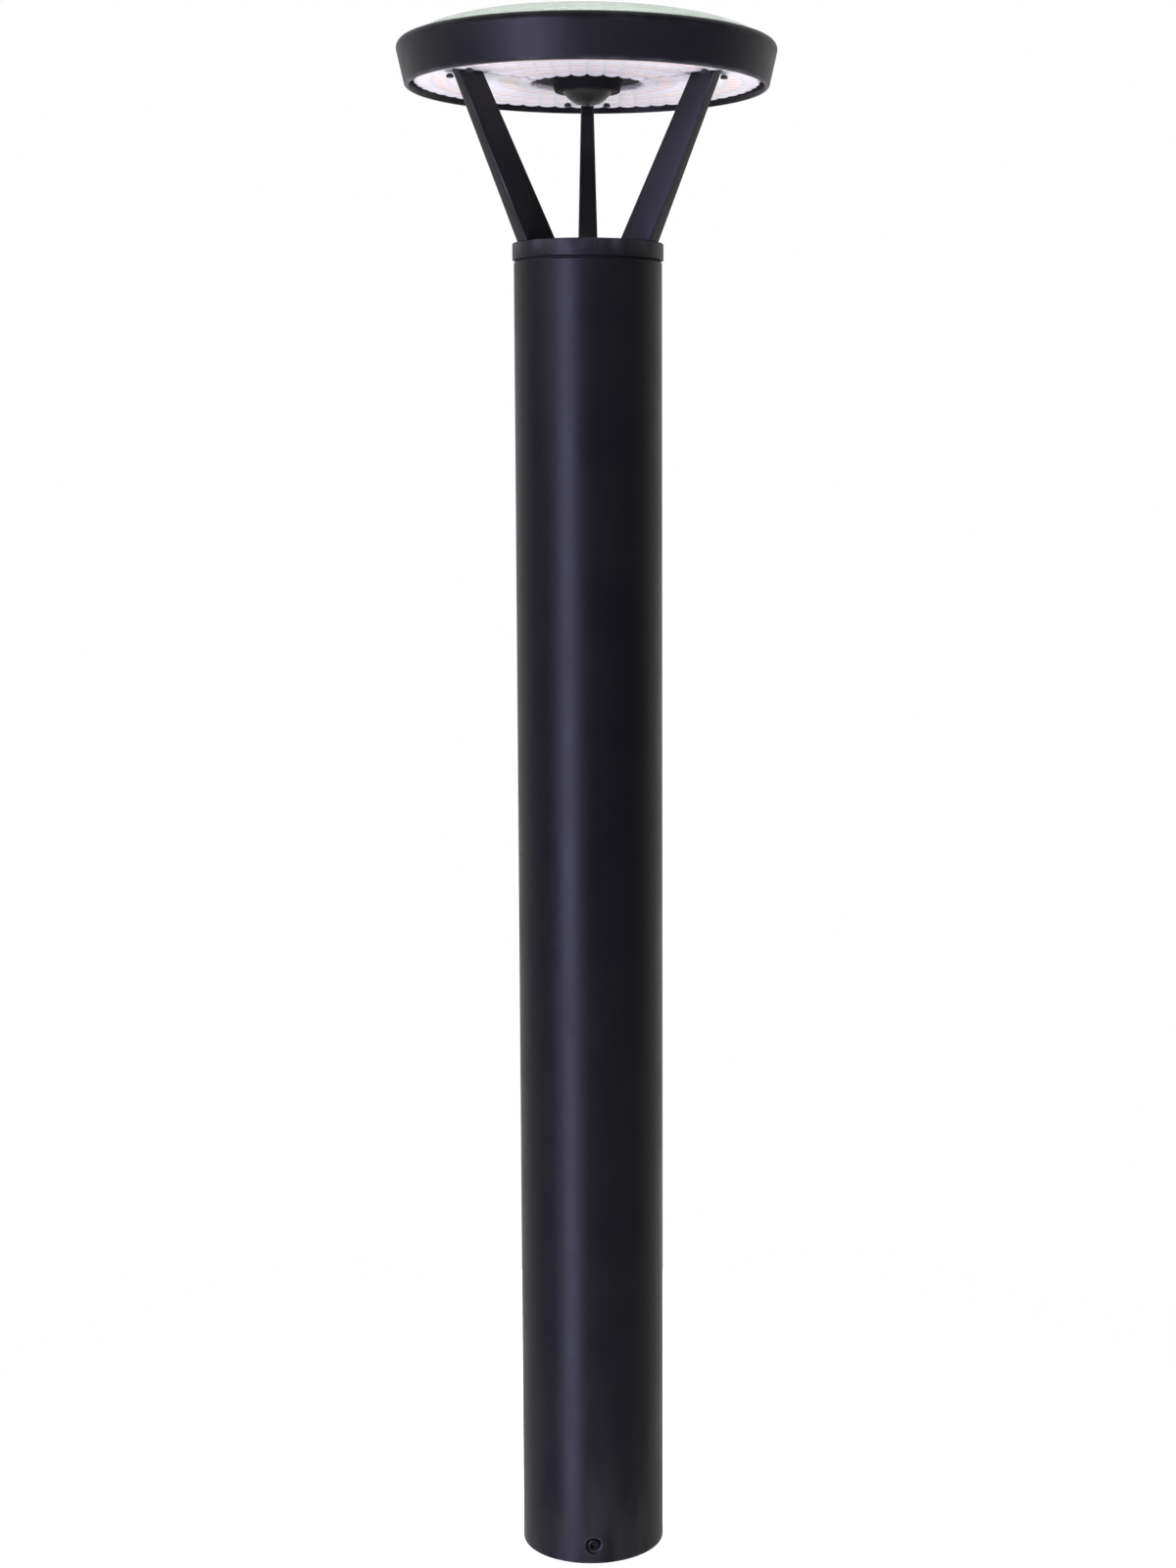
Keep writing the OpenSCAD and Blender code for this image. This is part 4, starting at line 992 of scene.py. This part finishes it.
@dataclass
class Head(Assembly):
    """The shallow round housing, open above for the panel and below for the lamps."""

    lean: float = 12.8
    rim_round: float = 5.2 * MM
    lip_round: float = 2.7 * MM
    lip_w: float = 3.2 * MM
    floor_t: float = 4 * MM
    ledge_h: float = 3.1 * MM
    ledge_w: float = 3.4 * MM
    ledge_gap: float = 0.6 * MM
    lip_soft: float = 0.35 * MM
    pocket_round: float = 2 * MM
    bay_round: float = 1.5 * MM
    bore_r: float = 12 * MM
    post_r: float = 6 * MM
    post_at: float = 98 * MM
    pad_h: float = 4 * MM
    pad_w: tuple = (18.3 * MM, 13.6 * MM)
    rub: tuple = (700.0, 0.8)
    sides: int = 384

    def build(self) -> None:
        """Builds the housing: one turned shell, three posts and three strut pads.

        The wall's outer face is the straight line that touches both the lip's and
        the rim's rounding, leaning outwards by the lean.
        """
        low, top, floor = self.levels.head_low, self.levels.head_top, self.levels.floor
        rim_r = self.levels.head_r - self.rim_round
        tilt = math.radians(self.lean)
        tangent = rim_r * math.cos(tilt) + self.rim_round - (top - self.rim_round) * math.sin(tilt)
        lip_r = (tangent - self.lip_round + (low + self.lip_round) * math.sin(tilt)) / math.cos(tilt)
        bay_r = lip_r + self.lip_round - self.lip_w
        ledge_r = rim_r - self.ledge_gap
        pocket_r = ledge_r - self.ledge_w
        soft, bay, pocket = self.lip_soft, self.bay_round, self.pocket_round
        lip = arc(lip_r, low + self.lip_round, self.lip_round, -90.0, -self.lean, 12)
        rim = arc(rim_r, top - self.rim_round, self.rim_round, -self.lean, 90.0, 22)
        wall = np.linspace(lip[-1], rim[0], 14)[1:-1]
        outline = [
            *arc(bay_r + soft, low + soft, soft, 180.0, 270.0, 3), *lip, *wall, *rim,
            (ledge_r, top - self.ledge_h), (pocket_r, top - self.ledge_h),
            *arc(pocket_r - pocket, floor + self.floor_t + pocket, pocket, 0.0, -90.0, 5),
            (self.bore_r, floor + self.floor_t), (self.bore_r, floor),
            *arc(bay_r - bay, floor - bay, bay, 90.0, 0.0, 5),
        ]
        shell = Shell()
        revolve(shell, outline, self.sides, corner_wear(outline, *self.rub))
        self.posts(shell, floor + self.floor_t)
        shell.build("head_housing_shell", self.paints, Finish.POWDER_COAT, "head_housing")

    def posts(self, shell: Shell, base: float) -> None:
        """Adds the tray posts and the pads over the struts, just sunk into the floor.

        Args:
            shell: The housing's shell.
            base: Height of the floor's top.
        """
        sunk, edge, margin = 0.5 * MM, 0.3 * MM, 2 * MM
        post_top, head_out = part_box("solar_tray")[0].z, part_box("strut_rear")[1].y
        radius = np.array([[self.post_r], [self.post_r], [self.post_r - edge]])
        height = np.array([[base - sunk], [post_top - edge], [post_top]])
        post = polar(radius, circle(40), height) + np.array([self.post_at, 0.0, 0.0])
        length, width = self.pad_w
        x = head_out - length / 2 + np.array([1, -1, -1, 1]) * (length / 2 + margin)
        y = np.array([1, 1, -1, -1]) * width / 2
        levels = (base - sunk, base + self.pad_h)
        pad = np.stack([np.stack([x, y, np.full(4, z)], axis=-1) for z in levels])
        for shape, directions in ((post, FIXING_ANGLES), (pad, STRUT_ANGLES.values())):
            for degrees in directions:
                shell.rod(turned(shape, degrees))


@dataclass
class Dome(Assembly):
    """The clear cover over the solar panel."""

    wall: float = 3 * MM
    flange_w: float = 3.1 * MM
    power: float = 5.0
    sides: int = 320
    rows: int = 44

    def build(self) -> None:
        """Builds the cover: height = rise (1 - (r / edge)^power) outside and inside."""
        low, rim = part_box("dome_cover")[0].z, self.levels.head_top
        rise, inner = self.levels.dome_top - rim, self.levels.dome_r - self.flange_w
        share = np.linspace(1.0, 0.0, self.rows)[:, None] ** 0.6
        shell, angle, edges = Shell(), circle(self.sides), []
        for radius, height in ((self.levels.dome_r, rise), (inner, rise - self.wall)):
            z = rim + height * (1.0 - share ** self.power)
            idx = shell.add(polar(radius * share[:-1], angle, z[:-1]))
            shell.sheet(idx, wrap=True)
            shell.close(idx[-1], (0.0, 0.0, z[-1, 0]))
            edges.append(idx[0])
        foot = [shell.add(polar(radius, angle, low)) for radius in (self.levels.dome_r, inner)]
        shell.band(edges[0], *foot, edges[1])
        shell.build("dome_cover_clear", self.paints, Finish.DOME_PLASTIC, "dome_cover", sharp=25.0)


@dataclass
class LensRing(Assembly):
    """Three moulded lens plates, a third of the lamp ring each, and their screws.

    The plate is a sheet on a polar grid.  A column stays at one share of the widest
    angle at its radius, which steps in where a strut passes.  A row keeps its
    radius, apart from the first and last few, which blend into the lobed edges.
    """

    row_first: float = 42.7 * MM
    row_pitch: float = 11.5 * MM
    row_count: int = 7
    row_lobes: int = 8
    row_step: int = 2
    lobe_r: float = 5.2 * MM
    outer_lobe_r: float = 6.0 * MM
    edge_in: float = 40.5 * MM
    edge_out: float = 113.2 * MM
    seam: float = 0.8 * MM
    notch: tuple = (78.2 * MM, 105.5 * MM)
    notch_half: float = 7.35 * MM
    ramp: float = 0.25 * MM
    lens_r: float = 5.5 * MM
    lens_h: float = 0.9 * MM
    rim_lens_h: float = 1.9 * MM
    sink: float = 0.7 * MM
    plate_t: float = 2.0 * MM
    skirt_w: float = 1.6 * MM
    skirt_top: float = 1.0 * MM
    skirt_sunk: float = 0.2 * MM
    screw_at: tuple = (97 * MM, 14 * MM)
    screw_d: float = 3 * MM
    screw_head: tuple = (5 * MM, 1.8 * MM)
    socket: tuple = (2 * MM, 1.0 * MM)
    screw_len: float = 8.6 * MM
    columns: int = 250
    row_gap: float = 0.8 * MM
    edge_rows: int = 8
    # Where the painted image of the phosphor starts in a lit lenslet, and how fast it grows
    lit_from: tuple = (0.3, 0.4)
    # How far the painted shade reaches: into the creases between lenslets, and in from the plate's sides
    crease: float = 0.2
    side_shade: float = 2.2 * MM

    def lobes(self, row: int) -> Array:
        """Angles of a row's lenslets in radians, over one third about +X."""
        count = self.row_lobes + self.row_step * row
        return math.radians(120.0) * ((np.arange(count) + 0.5) / count - 0.5)

    def widest(self, radius: Array) -> Array:
        """Half the angle that the plate spans at a radius, stepping in at the notch."""
        start = np.clip((radius - self.notch[0]) / self.ramp, 0.0, 1.0)
        stop = np.clip((self.notch[1] - radius) / self.ramp, 0.0, 1.0)
        half = self.seam / 2 + (self.notch_half - self.seam / 2) * np.minimum(start, stop)
        return math.radians(60.0) - np.arcsin(half / radius)

    def edge(self, angle: Array, row: int, radius: float, plain: float, outward: bool) -> Array:
        """The lobed edge: the plain circle, or the far side of a lobe that passes it.

        A lobe centred at distance c and turned by d from the ray reaches
        c cos d +/- sqrt(R^2 - c^2 sin^2 d) along that ray.

        Args:
            angle: Directions of the rays.
            row: Row whose lenslets make the lobes.
            radius: Radius R of a lobe.
            plain: Radius of the edge between lobes.
            outward: Whether this is the outer edge.

        Returns:
            The edge's distance along each ray.
        """
        centre = self.row_first + row * self.row_pitch
        off = angle[:, None] - self.lobes(row)[None, :]
        inside = radius ** 2 - (centre * np.sin(off)) ** 2
        sign = 1.0 if outward else -1.0
        reach = centre * np.cos(off) + sign * np.sqrt(np.maximum(inside, 0.0))
        reach = np.where(inside > 0.0, reach, plain)
        return reach.max(axis=1) if outward else reach.min(axis=1)

    def spots(self, rows: range) -> Array:
        """Places of some rows' lenslets that stand clear of notches and screws."""
        spots = np.concatenate([
            polar(self.row_first + row * self.row_pitch, self.lobes(row), 0.0) for row in rows])
        margin = 0.6 * self.lens_r
        keep = np.ones(len(spots), bool)
        for side in (-60.0, 60.0):
            along, across, _ = turned(spots, -side).T
            beside = (np.abs(across) < self.notch_half + margin) & (along > self.notch[0] - margin)
            keep &= ~(beside & (along < self.notch[1] + margin))
        for screw in self.screw_places():
            gap = np.linalg.norm((spots - screw)[:, :2], axis=1)
            keep &= gap > self.lens_r + 0.6 * self.screw_head[0]
        return spots[keep, :2]

    def screw_places(self) -> Array:
        """Places of the two screws of one third, each beside its notch, at height 0."""
        at, beside = self.screw_at
        return np.stack([
            turned(np.array([at, -math.copysign(beside, side), 0.0]), side) for side in (-60.0, 60.0)])

    def nearness(self, flat: Array, spots: Array) -> Array:
        """1 - (d / R)^2 kept above 0, with d the distance to the nearest lenslet's middle.

        Args:
            flat: Places on the plate.
            spots: Middles of the lenslets.

        Returns:
            A number from 0 at a lenslet's edge to 1 at its middle.
        """
        near = np.full(flat.shape[:-1], np.inf)
        for part in np.array_split(spots, 8):
            gap = ((flat[..., None, :2] - part) ** 2).sum(axis=-1)
            near = np.minimum(near, gap.min(axis=-1))
        return np.clip(1.0 - near / self.lens_r ** 2, 0.0, 1.0)

    def build(self) -> None:
        """Builds the plates with their skirts, then the screws."""
        plate_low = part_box("lens_front")[0].z + self.sink
        surfaces, marks = self.grid(plate_low)
        for name, degrees in THIRDS.items():
            shell = Shell()
            sides = [shell.add(turned(surface, degrees)) for surface in surfaces]
            for idx in sides:
                shell.sheet(idx)
            for key, value in marks.items():
                shell.mark(key, sides[0], value)
            shell.band(*(np.concatenate([g[0, :-1], g[:-1, -1], g[-1, :0:-1], g[:0:-1, 0]]) for g in sides))
            self.skirt(shell, degrees, plate_low)
            shell.build(name + "_plate", self.paints, Finish.LENS_PLASTIC, name, sharp=50.0)
        self.screws()

    def grid(self, plate_low: float) -> tuple:
        """Both surfaces of a plate about +X, and what its finish reads.

        A lenslet hangs h sqrt(1 - (d / R)^2) below the plate at the distance d from its middle.  The painted
        image of the phosphor in a lit one and the painted shade in the creases between lenslets and along the
        plate's sides are kept as numbers from 0 to 1.

        Args:
            plate_low: Height of the plate's underside between lenslets.

        Returns:
            The lower and the upper surface, and the lower one's marks by name.
        """
        fine = np.arange(self.row_first, self.edge_out, self.row_gap)
        steps = np.array([self.notch[0], self.notch[0] + self.ramp, self.notch[1] - self.ramp, self.notch[1]])
        fine = fine[np.abs(fine[:, None] - steps).min(axis=1) > 0.375 * self.row_gap]
        body = np.sort(np.concatenate([fine, steps]))
        share = np.linspace(-1.0, 1.0, self.columns)
        ends = math.radians(60.0) - math.asin(self.seam / 2 / self.edge_in)
        inner = self.edge(share * ends, 0, self.lobe_r, self.edge_in, False)
        outer = self.edge(share * ends, self.row_count - 1, self.outer_lobe_r, self.edge_out, True)
        blend = np.linspace(0.0, 1.0, self.edge_rows)[:, None]
        rows = np.concatenate([
            inner + (body[0] - inner) * blend[:-1],
            np.broadcast_to(body[:-1, None], (len(body) - 1, self.columns)),
            body[-1] + (outer - body[-1]) * blend,
        ])
        angle = share * self.widest(rows)
        flat = polar(rows, angle, 0.0)
        every, lit, rim = (
            self.nearness(flat, self.spots(range(self.row_count)[part]))
            for part in (slice(None), slice(1, None, 2), slice(1)))
        bumps = np.maximum(self.lens_h * np.sqrt(every), self.rim_lens_h * np.sqrt(rim))
        lower = flat + np.stack([0 * bumps, 0 * bumps, plate_low - bumps], axis=-1)
        upper = flat + np.array([0.0, 0.0, plate_low + self.plate_t - self.sink])
        to_side = rows * (self.widest(rows) - np.abs(angle))
        # Painted shade: darker in the creases between lenslets and near the plate's sides and seams
        crease = np.clip(self.crease - every, 0.0, 1.0)
        painted_shade = np.maximum(crease, np.clip(1.2 - to_side / self.side_shade, 0.0, 1.0))
        # The phosphor mark is a painted image of the phosphor seen through the lit lenslets
        start, stretch = self.lit_from
        return (lower, upper), {"phosphor": np.clip((lit - start) / stretch, 0.0, 1.0), "painted_shade": painted_shade}

    def skirt(self, shell: Shell, degrees: float, plate_low: float) -> None:
        """Adds the wall that stands on the plate's back, all round its plain edge.

        Args:
            shell: The plate's shell.
            degrees: Direction of the third.
            plate_low: Height of the plate's underside.
        """
        low = plate_low + self.plate_t - self.sink - self.skirt_sunk
        high = self.levels.floor - self.skirt_top
        sweep = np.linspace(-1.0, 1.0, 90)[1:-1]
        loops = []
        for inset, levels in ((0.0, (low, high)), (self.skirt_w, (high, low))):
            radii = np.concatenate([
                np.linspace(self.edge_in + inset, self.notch[0] - inset, 12),
                np.linspace(self.notch[0] + self.ramp - inset, self.notch[1] - self.ramp + inset, 10),
                np.linspace(self.notch[1] + inset, self.edge_out - inset, 5),
            ])
            beyond = (radii < self.notch[0]) | (radii > self.notch[1])
            half = np.where(beyond, self.seam / 2, self.notch_half) + inset
            side = math.radians(60.0) - np.arcsin(half / radii)
            reach = np.concatenate([0 * sweep + radii[0], radii, 0 * sweep + radii[-1], radii[::-1]])
            angle = np.concatenate([sweep * side[0], side, -sweep * side[-1], -side[::-1]])
            loops += [shell.add(turned(polar(reach, angle, z), degrees)) for z in levels]
        shell.band(*loops, loops[0])

    def screws(self) -> None:
        """Six small cap screws, heads down, that hold the plates up."""
        head_d, head_h = self.screw_head
        radius, soft = head_d / 2, 0.2 * MM
        outline = [
            (0.72 * radius, head_h), (radius - soft, head_h), (radius, head_h - soft),
            (radius, 0.0), (self.screw_d / 2, 0.0), (self.screw_d / 2, -self.screw_len),
        ]
        screw, shell = Screw(outline, *self.socket, sides=24), Shell()
        seat = np.array([0.0, 0.0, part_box("lens_screws")[0].z + head_h])
        hang = np.array([1.0, -1.0, -1.0])
        for at in self.screw_places():
            screw.add_to(shell, lambda points: points * hang + seat + at, THIRDS.values())
        shell.build("lens_cap_screws", self.paints, Finish.BLACK_STEEL, "lens_screws")


@dataclass
class Sensor(Assembly):
    """The motion sensor's bezel and its domed window."""

    barrel_r: float = 16.5 * MM
    ball_r: float = 19.5 * MM
    wall: float = 1.0 * MM
    ledge: float = 3.5 * MM
    seat_h: float = 2.5 * MM
    flange_r: float = 36.5 * MM
    flange_t: float = 3.5 * MM
    flange_soft: float = 0.5 * MM
    root_r: float = 24.4 * MM
    root_edge: float = 0.5 * MM
    collar_r: float = 22.3 * MM
    collar_round: float = 0.8 * MM
    mouth: float = 5.7 * MM
    mouth_edge: float = 0.2 * MM
    rub: tuple = (900.0, 0.5)
    slip: float = 0.1 * MM
    groove: float = 0.12 * MM
    facets: int = 18
    rings: int = 5
    tip: float = 0.02
    fade: tuple = (0.2, 0.1)
    sides: int = 144

    def build(self) -> None:
        """Builds and dresses the bezel and the window."""
        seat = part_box("sensor_lens")[1].z - self.seat_h
        self.bezel(seat)
        self.window(seat)

    def bezel(self, seat: float) -> None:
        """The bezel: a flange, a slightly tapering collar with soft corners and a bore.

        Args:
            seat: Height that the window's flange rests on.
        """
        floor, soft, round_r = self.levels.floor, self.flange_soft, self.collar_round
        under = floor - self.flange_t
        bore_r, mouth = self.barrel_r + self.slip, seat - self.mouth
        step_r = bore_r + self.ledge
        outline = [
            (bore_r, mouth + self.mouth_edge), (bore_r + self.mouth_edge, mouth),
            *arc(self.collar_r - round_r, mouth + round_r, round_r, -90.0, 0.0, 5),
            (self.root_r, under - self.root_edge), (self.root_r + self.root_edge, under),
            *arc(self.flange_r - soft, under + soft, soft, -90.0, 0.0, 4),
            (self.flange_r, floor), (step_r, floor), (step_r, seat), (bore_r, seat),
        ]
        shell = Shell()
        revolve(shell, outline, self.sides, corner_wear(outline, *self.rub))
        shell.build("sensor_bezel", self.paints, Finish.BLACK_PLASTIC, "sensor_housing")

    def window(self, seat: float) -> None:
        """The window: the end of a ball on a barrel, dimpled into rows of small facets.

        With e the polar angle of the ball's edge, the radius at polar angle p and turn
        a is R - d f max(|cos(n a / 2)|, |cos(pi m p / e)|)^24, so that shallow grooves
        run between the facets; f fades them out at the tip and at the edge.

        Args:
            seat: Height of the underside of the flange.
        """
        angle, edge = circle(self.sides), math.asin(self.barrel_r / self.ball_r)
        ball_z = seat - self.mouth + self.ball_r * math.cos(edge)
        inner_r, inner_ball = self.barrel_r - self.wall, self.ball_r - self.wall
        outer_p = np.linspace(edge, self.tip, 48)[:, None]
        inner_p = np.linspace(math.asin(inner_r / inner_ball), self.tip, 12)[:, None]
        waves = np.maximum(
            np.abs(np.cos(self.facets * angle / 2)), np.abs(np.cos(self.rings * outer_p / edge * math.pi)))
        at_tip, at_edge = self.fade
        fade = np.clip(outer_p / at_tip - 1.0, 0.0, 1.0) * np.clip((edge - outer_p) / at_edge, 0.0, 1.0)
        skin = self.ball_r - self.groove * waves ** 24 * fade
        shell, ends = Shell(), []
        for ball, radius, polar_angle in ((self.ball_r, skin, outer_p), (inner_ball, inner_ball, inner_p)):
            height = ball_z - radius * np.cos(polar_angle)
            idx = shell.add(polar(radius * np.sin(polar_angle), angle, height))
            shell.sheet(idx, wrap=True)
            shell.close(idx[-1], (0.0, 0.0, ball_z - ball))
            ends.append(idx[0])
        wide, top = self.barrel_r + self.ledge, seat + self.seat_h
        flange = [(self.barrel_r, seat), (wide, seat), (wide, top), (inner_r, top)]
        shell.band(ends[0], *(shell.add(polar(r, angle, z)) for r, z in flange), ends[1])
        shell.build("sensor_window", self.paints, Finish.SMOKE_PLASTIC, "sensor_lens", sharp=60.0)


# --------------------------------------------------------------------- stage


@dataclass(frozen=True)
class Lamp:
    """A soft rectangular light.

    Attributes:
        name: Its name.
        at: Where it stands.
        towards: The point it faces.
        size: Its width and height.
        power: Its power in watts.
        colour: Its colour.
        beam: Full angle of its beam in degrees.
        mirrored: Whether glossy surfaces show it.
    """

    name: str
    at: tuple
    towards: tuple
    size: tuple
    power: float
    colour: tuple
    beam: float = 180.0
    mirrored: bool = True

    def build(self) -> None:
        """Builds the light and turns it to face its point."""
        data = bpy.data.lights.new(self.name, "AREA")
        data.spread = math.radians(self.beam)
        data.shape = "RECTANGLE"
        data.size, data.size_y = self.size
        data.energy, data.color = self.power, self.colour
        light = bpy.data.objects.new(self.name, data)
        light.visible_glossy = self.mirrored
        x, y, z = np.array(self.towards) - np.array(self.at)
        light.location = self.at
        light.rotation_euler = (math.atan2(math.hypot(x, y), -z), 0.0, math.atan2(y, x) - math.pi / 2)
        bpy.context.scene.collection.objects.link(light)


LAMPS = (
    Lamp("key", (-1.02, -1.5, 0.4), (0.0, 0.0, 0.4), (0.74, 2.7), 33.0, (0.62, 0.59, 1.0)),
    Lamp("fill", (-2.0, -0.9, 1.4), (0.0, 0.0, 0.9), (0.7, 1.0), 3.0, (0.9, 0.88, 1.0)),
    Lamp("uplight", (0.0, 0.4, 0.03), (0.0, 0.0, 1.03), (1.2, 0.4), 2.9, (0.99, 0.96, 1.0), 48.0, False),
    Lamp("foreglow", (0.0, -0.42, 0.03), (0.0, -0.13, 1.03), (0.6, 0.2), 0.75,
         (0.99, 0.96, 1.0), 20.0, False),
    Lamp("overhead", (0.0, 0.3, 2.3), (0.0, 0.0, 1.07), (1.2, 1.2), 40.0, (0.95, 1.0, 0.93), mirrored=False),
)


@dataclass
class Studio:
    """A pale floor, soft lights, a white surround and the camera."""

    floor_r: float = 0.6
    floor_gap: float = 0.2 * MM
    floor_glow: float = 0.86
    floor_pale: tuple = ((0.80, 0.80, 0.80), (0.84, 0.84, 0.84))
    surround_light: tuple = (-0.15, 0.75, 0.10, 0.62)
    camera_at: tuple = (0.0, -1.715, 0.7787)
    pitch: float = 7.458
    yaw: float = 1.936
    lens: float = 56.33
    shift_x: float = -0.0539

    def build(self) -> None:
        """Builds everything that isn't part of the object."""
        self.view()
        self.floor()
        self.surround()
        for lamp in LAMPS:
            lamp.build()

    def view(self) -> None:
        """The camera and plain display colours."""
        data = bpy.data.cameras.new("camera")
        data.lens, data.sensor_width = self.lens, 36.0
        data.shift_x = self.shift_x
        data.dof.use_dof = False
        camera = bpy.data.objects.new("camera", data)
        camera.location = self.camera_at
        camera.rotation_euler = (math.radians(90.0 - self.pitch), 0.0, -math.radians(self.yaw))
        scene = bpy.context.scene
        scene.collection.objects.link(camera)
        scene.camera = camera
        scene.view_settings.view_transform, scene.view_settings.look = "Standard", "None"

    def floor(self) -> None:
        """A pale round floor that glows a little, so that it meets the white surround."""
        ring = polar(self.floor_r, circle(128), -self.floor_gap)
        mesh = bpy.data.meshes.new("floor")
        mesh.from_pydata(ring.tolist(), [], [list(range(len(ring)))])
        floor = bpy.data.objects.new("floor", mesh)
        bpy.context.scene.collection.objects.link(floor)
        tree = Tree("floor_paint")
        tree.set(
            Base_Color=tree.mix(tree.noise(0.2), *self.floor_pale), Roughness=0.8, Specular_IOR_Level=0.0,
            Emission_Color=(1.0, 1.0, 1.0, 1.0), Emission_Strength=self.floor_glow,
        )
        mesh.materials.append(tree.material)
        floor.visible_glossy, floor.visible_shadow = False, False

    def surround(self) -> None:
        """White where it is seen; as light, bright behind and above and dim in front."""
        world = bpy.data.worlds.new("surround")
        bpy.context.scene.world = world
        world.use_nodes = True
        tree = Nodes(world.node_tree)
        way = tree.node("SeparateXYZ", {0: tree.node("TexCoord", {}, "Generated")}, "Y")
        seen = tree.node("LightPath", {}, "Is Camera Ray")
        # Inputs 2 and 3 are the node's plain numbers
        strength = tree.node("Mix", {0: seen, 2: tree.span(way, *self.surround_light), 3: 1.0})
        back = tree.node("Background", {"Color": (1.0, 1.0, 1.0, 1.0), "Strength": strength})
        tree.node("OutputWorld", {"Surface": back})


# ---------------------------------------------------------------------- main


def main() -> None:
    """Builds the studio and every visible piece, in order, and logs each."""
    logging.basicConfig(level=logging.INFO, format="%(name)s %(message)s")
    levels, paints = Levels.read(), Paints()
    Studio().build()
    paints.dress_nodes(frame["record"], frame["nodes"])
    for maker in (Pole, Cap, Struts, Head, Dome, LensRing, Sensor):
        maker(levels, paints).build()
        LOG.info("%s done", maker.__name__)


if __name__ == "__main__":
    main()
